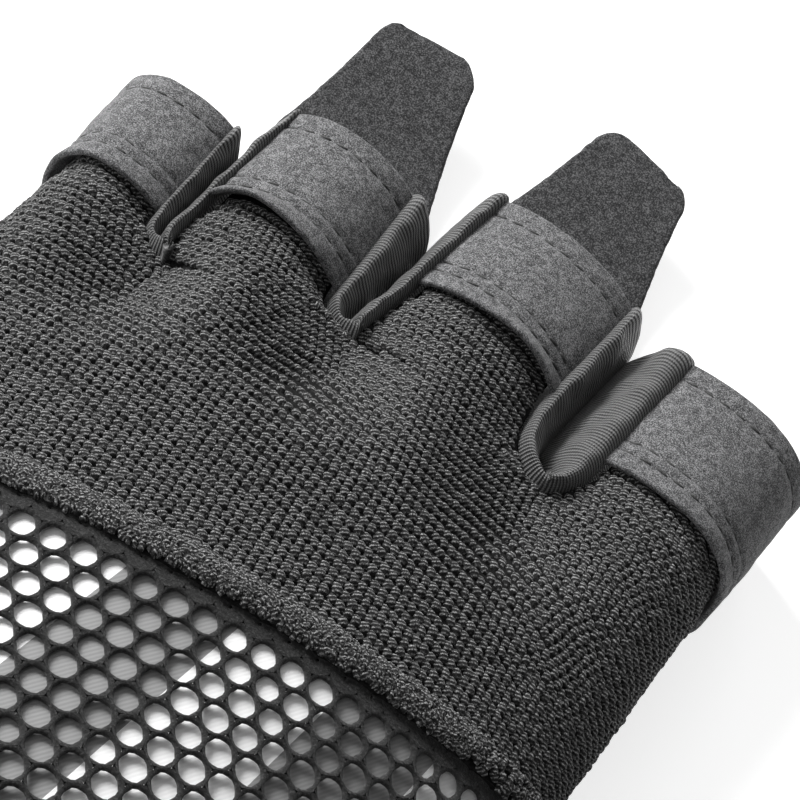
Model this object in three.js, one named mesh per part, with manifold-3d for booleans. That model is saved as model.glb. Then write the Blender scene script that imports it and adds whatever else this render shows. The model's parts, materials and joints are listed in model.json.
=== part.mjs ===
import * as THREE from 'three'
import { mergeVertices } from 'three/addons/utils/BufferGeometryUtils.js'
import Module from 'manifold-3d'

// A left-hand weightlifting glove with cut-off fingers, lying on its palm.
// Millimetres. Fingers point along +Y, the little finger is on -X, the back of the hand is up.
// Y = 0 is the line of the finger webs and Z = 0 is what the palm lies on.

// Main sizes
const HAND_WIDTH = 91.2
const HAND_HEIGHT = 31
const BACK_LENGTH = 112
const BAND_START = 18.8
const BAND_LENGTH = 20
const BAND_TUCK = 4
const BAND_STEP = 1
const WEB_OPENING = 4.5
const PALM_WEB_STEP = 7
const KNUCKLE_BLEND = 24
const CLEARANCE = 0.3
const SIDE_SEAM = 0.6
const CUFF_EASE = 0.6

// Walls
const KNIT_WALL = 1.4
const BAND_WALL = 1.2
const BAND_PROUD = 0.9
const BAND_SINK = BAND_WALL - BAND_PROUD + CLEARANCE
const HEM_PROUD = 1
const HEM_WIDTH = 4
const HEM_END = THREE.MathUtils.degToRad(46)
const HEM_FADE = THREE.MathUtils.degToRad(29)
const SINK_RUN = 3
const GUSSET_WALL = 1
const GUSSET_BULGE = 2.4
const GUSSET_LEAST = 0.6
const PALM_WALL = 1.8
const PARED_EDGE = 1
const NET_WALL = 1.2
const LINING_WALL = 1
const CUFF_WALL = 1.9

// Back net, and the seam where it meets the knit
const SEAM_SETBACK = 37.6
const SEAM_SLOPE = 0.235
const NET_PITCH = 8.4
const NET_BAR = 2.4
const NET_MARGIN = 0.62
const NET_SIDE = THREE.MathUtils.degToRad(14)
const LINING_WRAP = 0.97
const LINING_LAP = 6

// Cuff and pull tabs
const CUFF_LENGTH = 26
const CUFF_TUCK = 4
const TAB_LENGTH = 34
const TAB_SEAM = 4
const TAB_RISE = 8
const TAB_CORNER = 3
const TAB_FLARE = 11
const TAB_TAPER = 1.3
const TAB_COLUMNS = 4
const TAB_STATIONS = [0, 0.122, 0.21, 0.31, 0.42, 0.57, 0.73, 0.86, 0.95, 1]

// Thumb
const THUMB_WIDTH = 25
const THUMB_HEIGHT = 21
const THUMB_LENGTH = 36
const THUMB_ANGLE = THREE.MathUtils.degToRad(42)
const THUMB_BAND = 16
const THUMB_WALL = 1.4
const THUMB_SETBACK = 48

// The hand, from the wrist to the fingers. `along` is a share of BACK_LENGTH,
// `centre` and `half` of HAND_WIDTH, `side` and `crown` of HAND_HEIGHT, and `lift`
// is how much of the cuff's thickness the palm side is raised by.
const HAND_SECTIONS = [
  { along: -1.0, centre: -0.022, half: 0.340, side: 0.613, crown: 1.290, lift: 1 },
  { along: -0.821, centre: -0.022, half: 0.329, side: 0.613, crown: 1.290, lift: 1 },
  { along: -0.75, centre: -0.024, half: 0.357, side: 0.600, crown: 1.270, lift: 1 },
  { along: -0.643, centre: -0.031, half: 0.406, side: 0.565, crown: 1.210, lift: 0 },
  { along: -0.429, centre: -0.043, half: 0.484, side: 0.484, crown: 1.084, lift: 0 },
  { along: -0.223, centre: -0.047, half: 0.504, side: 0.436, crown: 1.000, lift: 0 },
  { along: 0.0, centre: -0.044, half: 0.512, side: 0.419, crown: 0.935, lift: 0 },
  { along: 0.268, centre: -0.044, half: 0.512, side: 0.403, crown: 0.806, lift: 0 },
]

// The fingers. `across`, `half`, `tipHalf` and `outer` are shares of HAND_WIDTH,
// `start` of BAND_START, `band` of BAND_LENGTH and the heights of HAND_HEIGHT.
// `crown` and `edge` are the middle and the sides of the band where it starts,
// `tipCrown` and `tipEdge` where it ends, and `lean` is sideways travel per length.
// A tab's `root` and `tip` are half widths as shares of HAND_WIDTH.
const FINGERS = [
  { name: 'little', across: -0.478, lean: -0.15, half: 0.0724, tipHalf: 0.0757,
    crown: 0.645, tipCrown: 0.574, edge: 0.571, tipEdge: 0.519, start: 0.160, band: 0.93,
    outer: 0.0800, waist: 0.339 },
  { name: 'ring', across: -0.261, lean: -0.08, half: 0.1009, tipHalf: 0.0932,
    crown: 0.729, tipCrown: 0.671, edge: 0.584, tipEdge: 0.571, start: 0.564, band: 0.99,
    tab: { lean: -0.17, root: 0.185, tip: 0.079 } },
  { name: 'middle', across: 0.008, lean: 0.045, half: 0.1118, tipHalf: 0.1118,
    crown: 0.748, tipCrown: 0.694, edge: 0.623, tipEdge: 0.610, start: 1.0, band: 1.0,
    tab: { lean: -0.043, root: 0.194, tip: 0.082 } },
  { name: 'index', across: 0.338, lean: 0.06, half: 0.0998, tipHalf: 0.0998,
    crown: 0.729, tipCrown: 0.671, edge: 0.648, tipEdge: 0.616, start: 0.777, band: 1.10,
    outer: 0.1240, waist: 0.371 },
]

// The webs between the fingers: `across` is a share of HAND_WIDTH, `along` of BAND_START,
// `height` of HAND_HEIGHT and `opening` of WEB_OPENING.
const WEBS = [
  { across: -0.346, along: -0.085, height: 0.619, opening: 0.89 },
  { across: -0.101, along: 0.319, height: 0.661, opening: 1.0 },
  { across: 0.202, along: 0.290, height: 0.684, opening: 1.33 },
]

// How finely each piece is divided
const KNIT_COLUMNS = [10, 6, 6, 10]
const KNIT_ROWS = 7
const EDGE_ROWS = 5
const BAND_ROWS = 5
const GUSSET_STATIONS = 18
const GUSSET_ROWS = 4
const PALM_COLUMNS = [6, 4, 4, 6]
const PALM_ROWS = 8
const TONGUE_ROWS = 6
const CUFF_TURNS = 32
const BODY_TURNS = 40
const THUMB_TURNS = 18

const FINGER_ARC = THREE.MathUtils.degToRad(55)
const HAND_WRAP = THREE.MathUtils.degToRad(125)
const FINGER_WRAP = THREE.MathUtils.degToRad(148)
const FLATNESS = 0.6
const WEB_HOLD = 12

const MATERIALS = {
  knit: new THREE.MeshStandardMaterial({ color: 0x3c3c3d, roughness: 0.95 }),
  suede: new THREE.MeshStandardMaterial({ color: 0x646566, roughness: 0.9 }),
  stretch: new THREE.MeshStandardMaterial({ color: 0x2b2b2d, roughness: 0.6 }),
  palm: new THREE.MeshStandardMaterial({ color: 0x404142, roughness: 0.9 }),
  net: new THREE.MeshStandardMaterial({ color: 0x2e2e2f, roughness: 0.9 }),
  lining: new THREE.MeshStandardMaterial({ color: 0xdcdcdc, roughness: 0.85 }),
}

const wasm = await Module()
wasm.setup()

const { sin, cos, abs, min, max, sqrt, PI } = Math
const mix = (a, b, t) => a + (b - a) * t
const clamp = (v) => min(1, max(0, v))
const smooth = (v) => clamp(v) ** 2 * (3 - 2 * clamp(v))

// Smooth curve through one column of the hand's sections
const SECTION_AT = HAND_SECTIONS.map((row) => row.along * BACK_LENGTH)
function handValue(column, y) {
  const last = HAND_SECTIONS.length - 1
  const at = min(SECTION_AT[last], max(SECTION_AT[0], y))
  let k = 0
  while (k < last - 1 && at > SECTION_AT[k + 1]) k++
  const slope = (j) => {
    const a = max(0, j - 1)
    const b = min(last, j + 1)
    return (HAND_SECTIONS[b][column] - HAND_SECTIONS[a][column]) / (SECTION_AT[b] - SECTION_AT[a])
  }
  const span = SECTION_AT[k + 1] - SECTION_AT[k]
  const s = (at - SECTION_AT[k]) / span
  return (1 + 2 * s) * (1 - s) ** 2 * HAND_SECTIONS[k][column]
    + s * (1 - s) ** 2 * span * slope(k)
    + s * s * (3 - 2 * s) * HAND_SECTIONS[k + 1][column]
    + s * s * (s - 1) * span * slope(k + 1)
}

const palmLift = (y) => clamp(handValue('lift', y)) * (CUFF_WALL + CUFF_EASE)

// A point of the hand's outline. The angle is 0 on the crown and positive on the index side:
// an ellipse above the side's height and a flattened one below it.
function arch(angle, y) {
  const centre = handValue('centre', y) * HAND_WIDTH
  const half = handValue('half', y) * HAND_WIDTH
  const side = handValue('side', y) * HAND_HEIGHT
  const crown = handValue('crown', y) * HAND_HEIGHT
  const s = sin(angle)
  const c = cos(angle)
  if (c >= 0) return new THREE.Vector3(centre + half * s, y, side + (crown - side) * c)
  const drop = (side - palmLift(y)) * abs(c) ** FLATNESS
  return new THREE.Vector3(centre + half * Math.sign(s) * abs(s) ** FLATNESS, y, side - drop)
}

const web = (k) => ({
  x: WEBS[k].across * HAND_WIDTH,
  y: WEBS[k].along * BAND_START,
  z: WEBS[k].height * HAND_HEIGHT,
  opening: WEBS[k].opening * WEB_OPENING,
})
const webBeside = (i, side) => {
  const k = side < 0 ? i - 1 : i
  return k >= 0 && k < WEBS.length ? web(k) : null
}

const startOf = (i) => FINGERS[i].start * BAND_START
const endOf = (i) => startOf(i) + FINGERS[i].band * BAND_LENGTH

// A point of finger i: t is -1 on its little finger side and 1 on its index side.
// The first and last fingers go round their free side as well.
function fingerPoint(i, t, y) {
  const f = FINGERS[i]
  const u = min(1.3, max(-2, (y - startOf(i)) / (endOf(i) - startOf(i))))
  const centre = f.across * HAND_WIDTH + f.lean * y
  const half = mix(f.half, f.tipHalf, u) * HAND_WIDTH
  const crown = mix(f.crown, f.tipCrown, u) * HAND_HEIGHT
  const edge = mix(f.edge, f.tipEdge, u) * HAND_HEIGHT
  const free = i === 0 ? -1 : 1
  if (f.outer && t * free > 0) {
    const a = abs(t) * FINGER_WRAP
    const waist = f.waist * HAND_HEIGHT
    const out = f.outer * HAND_WIDTH
    const x = centre + free * out * (cos(a) > 0 ? sin(a) : abs(sin(a)) ** FLATNESS)
    const z = cos(a) > 0 ? waist + (crown - waist) * cos(a) : waist * (1 - abs(cos(a)) ** FLATNESS)
    return new THREE.Vector3(x, y, z)
  }
  // Below the web the arc turns into a round valley between the knuckles
  const arc = (cos(t * FINGER_ARC) - cos(FINGER_ARC)) / (1 - cos(FINGER_ARC))
  const valley = (1 + cos(PI * t)) / 2
  const rise = mix(valley, arc, smooth((y - webLine(i, t)) / (2 * WEB_OPENING)))
  const x = centre + half * sin(t * FINGER_ARC) / sin(FINGER_ARC)
  return new THREE.Vector3(x, y, edge + (crown - edge) * rise)
}

// The hand angle that finger i's strip has at t
const angleAcross = (x) => Math.asin((x - handValue('centre', 0) * HAND_WIDTH)
  / (handValue('half', 0) * HAND_WIDTH))
function stripAngle(i, t) {
  const middle = angleAcross(FINGERS[i].across * HAND_WIDTH)
  if (i === 0) return t < 0 ? mix(middle, -HAND_WRAP, -t) : mix(middle, angleAcross(web(0).x), t)
  if (i === 3) return t > 0 ? mix(middle, HAND_WRAP, t) : mix(middle, angleAcross(web(2).x), -t)
  return mix(angleAcross(web(i - 1).x), angleAcross(web(i).x), (t + 1) / 2)
}

// The height of the web line at t of finger i's strip
function webLine(i, t) {
  const left = webBeside(i, -1) ?? webBeside(i, 1)
  const right = webBeside(i, 1) ?? webBeside(i, -1)
  return mix(left.y, right.y, (t + 1) / 2)
}

function blendedPoint(i, t, y) {
  const from = webLine(i, t) - KNUCKLE_BLEND
  const w = smooth((y - from) / (startOf(i) + 2 - from))
  return arch(stripAngle(i, t), y).lerp(fingerPoint(i, t, y), w)
}

// The back of the glove: finger i's strip, whose edges meet its neighbours' below the webs
// and part in a round opening above them.
function strip(i, t, y) {
  const point = blendedPoint(i, t, y)
  for (const side of [-1, 1]) {
    const w = webBeside(i, side)
    if (!w) continue
    const own = blendedPoint(i, side, y)
    const other = blendedPoint(i + side, -side, y)
    const hold = Math.exp(-(((y - w.y) / WEB_HOLD) ** 2))
    const joined = own.clone().lerp(other, 0.5).lerp(new THREE.Vector3(w.x, y, w.z), hold)
    const u = clamp((y - w.y) / w.opening)
    const edge = joined.lerp(own, sqrt(1 - (1 - u) ** 2))
    point.addScaledVector(edge.sub(own), smooth(t * side))
  }
  return point
}

const bandLine = (i, t, past) => {
  const f = FINGERS[i]
  return startOf(i) + past - f.lean * f.half * HAND_WIDTH * t
}
const tipLine = (i, t) => endOf(i) - FINGERS[i].lean * FINGERS[i].tipHalf * HAND_WIDTH * t

// The seam between knit and net, by hand angle
const seamLine = (angle) => {
  const { centre, half } = HAND_SECTIONS[5]
  return SEAM_SLOPE * (centre + half * sin(angle)) * HAND_WIDTH - SEAM_SETBACK
}
const wristLine = -(BACK_LENGTH - CUFF_LENGTH + CUFF_TUCK)

// Rows across the hand crowd towards both ends, where it turns most
const crowded = (v) => (1 - cos(PI * v)) / 2

// Steps along a finger's edge, close together in the round of the web
const alongWeb = (y, end, s) => y + (end - y) * (1 - cos(s * PI / 2))

// A sheet of quads on a middle surface, given a wall between two offsets along its normals
class Sheet {
  constructor() {
    this.points = []
    this.outer = []
    this.inner = []
    this.faces = []
    this.known = new Map()
  }

  point(p, outer, inner) {
    const key = p.toArray().map((v) => Math.round(v * 1000)).join(' ')
    if (this.known.has(key)) return this.known.get(key)
    this.known.set(key, this.points.length)
    this.points.push(p)
    this.outer.push(outer)
    this.inner.push(inner)
    return this.points.length - 1
  }

  // place(u, v) gives { p, outer, inner } for u and v from 0 to 1
  grid(columns, rows, place) {
    const at = []
    for (let r = 0; r <= rows; r++) {
      at.push([])
      for (let c = 0; c <= columns; c++) {
        const { p, outer, inner } = place(c / columns, r / rows)
        at[r].push(this.point(p, outer, inner))
      }
    }
    for (let r = 0; r < rows; r++) {
      for (let c = 0; c < columns; c++) {
        this.face(at[r][c], at[r][c + 1], at[r + 1][c + 1])
        this.face(at[r][c], at[r + 1][c + 1], at[r + 1][c])
      }
    }
    return this
  }

  face(a, b, c) {
    if (a !== b && b !== c && c !== a) this.faces.push([a, b, c])
  }

  solid() {
    const flat = new THREE.BufferGeometry()
    flat.setAttribute('position', new THREE.Float32BufferAttribute(
      this.points.flatMap((p) => p.toArray()), 3))
    flat.setIndex(this.faces.flat())
    flat.computeVertexNormals()
    const normal = flat.attributes.normal
    const count = this.points.length
    const shift = (k, d) => this.points[k].clone()
      .addScaledVector(new THREE.Vector3().fromBufferAttribute(normal, k), d)
    const corners = [
      ...this.points.map((_, k) => shift(k, this.outer[k])),
      ...this.points.map((_, k) => shift(k, -this.inner[k])),
    ]
    const index = []
    const open = new Map()
    for (const [a, b, c] of this.faces) {
      index.push(a, b, c, a + count, c + count, b + count)
      for (const [p, q] of [[a, b], [b, c], [c, a]]) {
        if (!open.delete(`${q} ${p}`)) open.set(`${p} ${q}`, [p, q])
      }
    }
    for (const [p, q] of open.values()) {
      index.push(q, p, p + count, q, p + count, q + count)
    }
    return closedBody(corners, index)
  }
}

function closedBody(corners, index) {
  const geometry = new THREE.BufferGeometry()
  geometry.setAttribute('position', new THREE.Float32BufferAttribute(
    corners.flatMap((p) => p.toArray()), 3))
  geometry.setIndex(index)
  return geometry
}

// Cuts and joins
function toSolid(geometry) {
  const bare = geometry.clone()
  bare.deleteAttribute('normal')
  bare.deleteAttribute('uv')
  const merged = mergeVertices(bare, 1e-4)
  return new wasm.Manifold(new wasm.Mesh({
    numProp: 3,
    vertProperties: new Float32Array(merged.attributes.position.array),
    triVerts: new Uint32Array(merged.index.array),
  }))
}

function fromSolid(solid) {
  const mesh = solid.getMesh()
  const geometry = new THREE.BufferGeometry()
  geometry.setAttribute('position', new THREE.BufferAttribute(mesh.vertProperties, 3))
  geometry.setIndex(new THREE.BufferAttribute(mesh.triVerts, 1))
  return geometry
}

const cut = (geometry, ...tools) => fromSolid(
  tools.reduce((solid, tool) => solid.subtract(toSolid(tool)), toSolid(geometry)))

// The knit over the knuckles: four strips in one panel, with a thick turned hem at the seam
function knucklePanel() {
  const sheet = new Sheet()
  FINGERS.forEach((_, i) => {
    const place = (t, y, fromSeam) => {
      const tuck = smooth((y - bandLine(i, t, -BAND_TUCK)) / SINK_RUN) * BAND_SINK
      const thumbSide = smooth((stripAngle(i, t) - HEM_END) / HEM_FADE)
      const hem = HEM_PROUD * (1 - smooth(fromSeam / HEM_WIDTH)) * (1 - thumbSide)
      return { p: strip(i, t, y), outer: hem - tuck, inner: KNIT_WALL + tuck }
    }
    sheet.grid(KNIT_COLUMNS[i], KNIT_ROWS, (u, v) => {
      const t = 2 * u - 1
      const seam = seamLine(stripAngle(i, t)) + CLEARANCE / 2
      const y = mix(seam, webLine(i, t), crowded(v))
      return place(t, y, y - seam)
    })
    sheet.grid(KNIT_COLUMNS[i], EDGE_ROWS, (u, v) => {
      const t = 2 * u - 1
      return place(t, alongWeb(webLine(i, t), bandLine(i, t, -BAND_STEP), v), BACK_LENGTH)
    })
    sheet.grid(KNIT_COLUMNS[i], 1, (u, v) => {
      const t = 2 * u - 1
      return place(t, bandLine(i, t, mix(-BAND_STEP, BAND_TUCK, v)), BACK_LENGTH)
    })
  })
  return sheet.solid()
}

// A suede band round the back of finger i, standing proud of the knit
function fingerBand(i) {
  const columns = KNIT_COLUMNS[i] + (FINGERS[i].outer ? 4 : 2)
  return new Sheet().grid(columns, BAND_ROWS, (u, v) => {
    const t = 2 * u - 1
    const y = mix(bandLine(i, t, 0), tipLine(i, t), v)
    return { p: strip(i, t, y), outer: BAND_PROUD, inner: BAND_WALL - BAND_PROUD }
  }).solid()
}

// The edge of finger i beside a gusset, dropped below the walls that cover it
const EDGE_STEP = 0.02
const STEP = 0.3
const EDGE_DROP = KNIT_WALL + BAND_SINK + 1.5 * CLEARANCE
function droppedEdge(i, side, y) {
  const here = strip(i, side, y)
  const inward = strip(i, side * (1 - EDGE_STEP), y).sub(here)
  const ahead = strip(i, side, y + STEP).sub(strip(i, side, y - STEP))
  const normal = inward.cross(ahead).multiplyScalar(-side).normalize()
  return { p: here, normal }
}

// The U-shaped path of gusset k from the end of one finger, round the web, to the next
function gussetPath(k, s) {
  const [i, side, run] = s < 0.5 ? [k, 1, 1 - 2 * s] : [k + 1, -1, 2 * s - 1]
  const w = web(k)
  const y = alongWeb(w.y, tipLine(i, side), run)
  const { p, normal } = droppedEdge(i, side, y)
  if (run < 1e-6) {
    const across = droppedEdge(k + 1, -1, y).normal
    normal.copy(droppedEdge(k, 1, y).normal).add(across).normalize()
  }
  const top = p.clone().addScaledVector(normal, -EDGE_DROP)
  const end = tipLine(i, side)
  const low = w.y + PALM_WEB_STEP + (y - w.y) * (end - w.y - PALM_WEB_STEP) / (end - w.y)
  return { top, foot: new THREE.Vector3(top.x, low, PALM_WALL + CLEARANCE + GUSSET_WALL / 2) }
}

// The stretch fourchette between two fingers: it rolls out from under the band's edge
// and comes down to the palm.
function gusset(k) {
  const outward = (s) => {
    const a = gussetPath(k, max(0, s - EDGE_STEP)).top
    const b = gussetPath(k, min(1, s + EDGE_STEP)).top
    return new THREE.Vector3(-(b.y - a.y), b.x - a.x, 0).normalize()
  }
  const gap = (s) => {
    const here = gussetPath(k, s).top
    const across = gussetPath(k, 1 - s).top
    return abs(here.x - across.x)
  }
  return new Sheet().grid(GUSSET_STATIONS, GUSSET_ROWS, (u, v) => {
    const { top, foot } = gussetPath(k, u)
    const bulge = min(GUSSET_BULGE, max(GUSSET_LEAST, gap(u) / 2 - CLEARANCE))
    const p = top.clone().lerp(foot, v).addScaledVector(outward(u), bulge * sin(PI * v))
    return { p, outer: 0, inner: GUSSET_WALL }
  }).solid()
}

// The palm's outer edge under the side of the hand: a seam's gap past the edge of the back,
// in the same slope, so that the two walls end face to face
function palmSide(side, y) {
  const i = side < 0 ? 0 : 3
  const edge = strip(i, side, y)
  const run = edge.clone().sub(strip(i, side * (1 - EDGE_STEP), y)).normalize()
  return { rim: edge.addScaledVector(run, SIDE_SEAM), slope: abs(run.z / run.x) }
}

// A point of the palm: flat on the table, and turned up to the side seams
function palmPoint(left, right, u, y, sides) {
  const x = mix(left, right, u)
  let z = palmLift(y)
  for (const side of sides) {
    const { rim, slope } = palmSide(side, y)
    const rise = max(0.05, rim.z - palmLift(y))
    const inFrom = side < 0 ? x - rim.x : rim.x - x
    z += rise * max(0, 1 - inFrom * slope / (2 * rise)) ** 2
  }
  return new THREE.Vector3(x, y, z)
}

// A place across the knuckles followed down the hand as it narrows
const alongHand = (x, y) => handValue('centre', y) * HAND_WIDTH
  + (x - handValue('centre', 0) * HAND_WIDTH) * handValue('half', y) / handValue('half', 0)

const tongueEnd = (i, t) => tipLine(i, t) - (FINGERS[i].tab ? TAB_SEAM : 0)

function palmPanel() {
  const sheet = new Sheet()
  // The leather is pared thin where it is turned under the side seams
  const wall = (i, u, p) => {
    const atSeam = (i === 0 && u === 0) || (i === 3 && u === 1)
    return { p, outer: atSeam ? PARED_EDGE : PALM_WALL, inner: 0 }
  }
  const sidesOf = (i) => (i === 0 ? [-1] : i === 3 ? [1] : [])
  FINGERS.forEach((_, i) => {
    const edgeX = (side, y) => {
      const w = webBeside(i, side)
      return w ? alongHand(w.x, min(0, y)) : palmSide(side, y).rim.x
    }
    const webTop = (t) => webLine(i, t) + PALM_WEB_STEP
    const spread = (u) => (i === 0 ? u ** 1.5 : i === 3 ? 1 - (1 - u) ** 1.5 : u)
    sheet.grid(PALM_COLUMNS[i], PALM_ROWS, (u, v) => {
      const y = mix(wristLine, webTop(2 * u - 1), crowded(v))
      return wall(i, u, palmPoint(edgeX(-1, y), edgeX(1, y), spread(u), y, sidesOf(i)))
    })
    // Above the web the tongue's edges follow the feet of the gussets
    const foot = (side, run) => {
      const w = webBeside(i, side)
      if (!w) {
        const y = mix(webTop(side), tongueEnd(i, side), 1 - cos(run * PI / 2))
        return { x: palmSide(side, y).rim.x, y }
      }
      const k = side < 0 ? i - 1 : i
      const p = gussetPath(k, side > 0 ? 0.5 - run / 2 : 0.5 + run / 2).foot
      const keep = (tongueEnd(i, side) - webTop(side)) / (tipLine(i, side) - webTop(side))
      return { x: mix(w.x, p.x, min(1, run * 6)), y: mix(webTop(side), p.y, keep) }
    }
    sheet.grid(PALM_COLUMNS[i], TONGUE_ROWS, (u, v) => {
      const a = foot(-1, v)
      const b = foot(1, v)
      return wall(i, u, palmPoint(a.x, b.x, spread(u), mix(a.y, b.y, u), sidesOf(i)))
    })
  })
  return sheet.solid()
}

// The back of the hand behind the seam, shared by the net and its lining
function backSheet(columns, rows, wrap, fromSeam, outer, inner) {
  return new Sheet().grid(columns, rows, (u, v) => {
    const angle = mix(-wrap, wrap, u)
    const y = mix(wristLine, seamLine(angle) - fromSeam, crowded(v))
    return { p: arch(angle, y), outer, inner }
  }).solid()
}

// The hand angle at a distance round the back from the crown
function angleAtArc(distance, y) {
  const step = THREE.MathUtils.degToRad(1.5) * Math.sign(distance)
  let angle = 0
  let left = abs(distance)
  while (abs(angle) < PI) {
    const length = arch(angle + step, y).distanceTo(arch(angle, y))
    if (length >= left) return angle + step * left / length
    left -= length
    angle += step
  }
  return angle
}

// One hexagonal hole of the net, square to the surface
function netHole(angle, y, turn) {
  const here = arch(angle, y)
  const across = arch(angle + 0.01, y).sub(arch(angle - 0.01, y)).normalize()
  const ahead = arch(angle, y + 0.5).sub(arch(angle, y - 0.5)).normalize()
  const normal = across.clone().cross(ahead).normalize()
  const bore = new THREE.CylinderGeometry(1, 1, 1, 6)
  const radius = (NET_PITCH - NET_BAR) / sqrt(3)
  bore.scale(radius, NET_WALL * 4, radius)
  bore.rotateY(turn)
  const side = new THREE.Vector3().crossVectors(normal, ahead).normalize()
  bore.applyMatrix4(new THREE.Matrix4().makeBasis(side, normal, ahead).setPosition(here))
  return bore
}

function backNet(thumbBore) {
  const plate = toSolid(backSheet(18, 4, HAND_WRAP, CLEARANCE / 2, 0, NET_WALL))
  const slope = Math.atan(SEAM_SLOPE)
  const reach = Math.ceil(BACK_LENGTH / NET_PITCH)
  const margin = NET_PITCH * NET_MARGIN
  let net = plate
  for (let row = 0; row < reach; row++) {
    for (let column = -reach; column <= reach; column++) {
      const along = (column + row / 2) * NET_PITCH
      const back = -row * NET_PITCH * sqrt(3) / 2 - margin
      const distance = along * cos(slope) - back * sin(slope)
      const y = along * sin(slope) + back * cos(slope) - SEAM_SETBACK
      if (y < wristLine + CUFF_TUCK + margin) continue
      const angle = angleAtArc(distance, y)
      if (abs(angle) > HAND_WRAP - NET_SIDE) continue
      if (y > seamLine(angle) - margin) continue
      if (thumbClear(arch(angle, y)) < margin) continue
      net = net.subtract(toSolid(netHole(angle, y, PI / 6 + slope)))
    }
  }
  return cut(fromSolid(net), thumbBore)
}

// The lining under the net, clear of the knit that laps over its edge
const LINING_DEPTH = KNIT_WALL + 2 * CLEARANCE
const backLining = (thumbBore) => cut(
  backSheet(22, 5, HAND_WRAP * LINING_WRAP, -LINING_LAP, -LINING_DEPTH, LINING_DEPTH + LINING_WALL),
  thumbBore)

// A closed ring of the hand's outline: the back by hand angle and the palm across its width
function handRing(y, count) {
  const ring = []
  for (let k = 0; k < count; k++) {
    const s = 4 * k / count
    if (s <= 3) ring.push(arch(mix(-HAND_WRAP, HAND_WRAP, s / 3), y))
    else {
      const [left, right] = [-1, 1].map((side) => palmSide(side, y).rim.x)
      ring.push(palmPoint(left, right, (1 + cos((s - 3) * PI)) / 2, y, [-1, 1]))
    }
  }
  return ring
}

// The cuff over the wrist ends of the palm, net and lining
function wristCuff() {
  const count = CUFF_TURNS
  const rings = [0, 0.1, 0.5, 0.9, 1].map((v) => handRing(-BACK_LENGTH + v * CUFF_LENGTH, count))
  return new Sheet().grid(count, rings.length - 1, (u, v) => ({
    p: rings[Math.round(v * (rings.length - 1))][Math.round(u * count) % count],
    outer: CUFF_EASE + CUFF_WALL,
    inner: -CUFF_EASE,
  })).solid()
}

// The hand's outer form as one body, grown by a clearance, to trim the thumb by
function handBody() {
  const count = BODY_TURNS
  const rows = [-0.95, -0.84, -0.75, -0.66, -0.56, -0.45, -0.34, -0.22].map((share) => share * BACK_LENGTH)
  const rings = rows.map((y) => {
    const ring = handRing(y, count)
    return ring.map((p, k) => {
      const chord = ring[(k + 1) % count].clone().sub(ring[(k + count - 1) % count])
      const out = new THREE.Vector3(-chord.z, 0, chord.x).normalize()
      return p.clone().addScaledVector(out, 2 * CLEARANCE)
    })
  })
  const corners = rings.flat()
  const index = []
  const at = (r, k) => r * count + (k + count) % count
  for (let r = 0; r < rows.length - 1; r++) {
    for (let k = 0; k < count; k++) {
      index.push(at(r, k), at(r, k + 1), at(r + 1, k + 1))
      index.push(at(r, k), at(r + 1, k + 1), at(r + 1, k))
    }
  }
  for (const [r, turned] of [[0, true], [rows.length - 1, false]]) {
    const middle = rings[r].reduce((sum, p) => sum.add(p), new THREE.Vector3())
      .divideScalar(count)
    corners.push(middle)
    for (let k = 0; k < count; k++) {
      const fan = [at(r, k), at(r, k + 1), corners.length - 1]
      index.push(...(turned ? fan.reverse() : fan))
    }
  }
  return closedBody(corners, index)
}

// The thumb: an oval tube out of the index side of the hand
const THUMB_ROOT = arch(PI / 2, -THUMB_SETBACK).setZ(
  THUMB_HEIGHT / 2 + CLEARANCE + THUMB_WALL)
const THUMB_AXIS = new THREE.Vector3(cos(THUMB_ANGLE), sin(THUMB_ANGLE), 0)
const THUMB_ACROSS = new THREE.Vector3(-sin(THUMB_ANGLE), cos(THUMB_ANGLE), 0)
const THUMB_INSET = 14
const THUMB_TAPER = 0.9
function thumbPoint(turn, along, grow) {
  const taper = mix(1, THUMB_TAPER, clamp(along / THUMB_LENGTH))
  return THUMB_ROOT.clone()
    .addScaledVector(THUMB_AXIS, along)
    .addScaledVector(THUMB_ACROSS, (THUMB_WIDTH / 2 * taper + grow) * cos(turn))
    .add(new THREE.Vector3(0, 0, (THUMB_HEIGHT / 2 * taper + grow) * sin(turn)))
}
function thumbClear(p) {
  const d = p.clone().sub(THUMB_ROOT)
  return sqrt(d.dot(THUMB_ACROSS) ** 2 + d.z ** 2) - THUMB_WIDTH / 2
    + max(0, -d.dot(THUMB_AXIS) - THUMB_INSET) * 2
}
const thumbTube = (from, to, rows, outer, wall) => new Sheet().grid(THUMB_TURNS, rows, (u, v) => ({
  p: thumbPoint(2 * PI * u, mix(from, to, v), 0),
  outer,
  inner: wall - outer,
})).solid()

function thumbBore() {
  const turns = THUMB_TURNS
  const ends = [-THUMB_INSET, THUMB_LENGTH]
  const corners = ends.flatMap((along) => Array.from({ length: turns },
    (_, k) => thumbPoint(2 * PI * k / turns, along, -THUMB_WALL)))
  corners.push(...ends.map((along) => THUMB_ROOT.clone().addScaledVector(THUMB_AXIS, along)))
  const index = []
  for (let k = 0; k < turns; k++) {
    const next = (k + 1) % turns
    index.push(k, next, next + turns, k, next + turns, k + turns)
    index.push(next, k, 2 * turns, k + turns, next + turns, 2 * turns + 1)
  }
  return closedBody(corners, index)
}

const thumbSleeve = () => cut(
  thumbTube(-THUMB_INSET, THUMB_LENGTH - THUMB_BAND + BAND_TUCK, 3, 0, THUMB_WALL),
  handBody())
const thumbBand = () => thumbTube(THUMB_LENGTH - THUMB_BAND, THUMB_LENGTH, 3,
  CLEARANCE + BAND_WALL, BAND_WALL)

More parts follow.
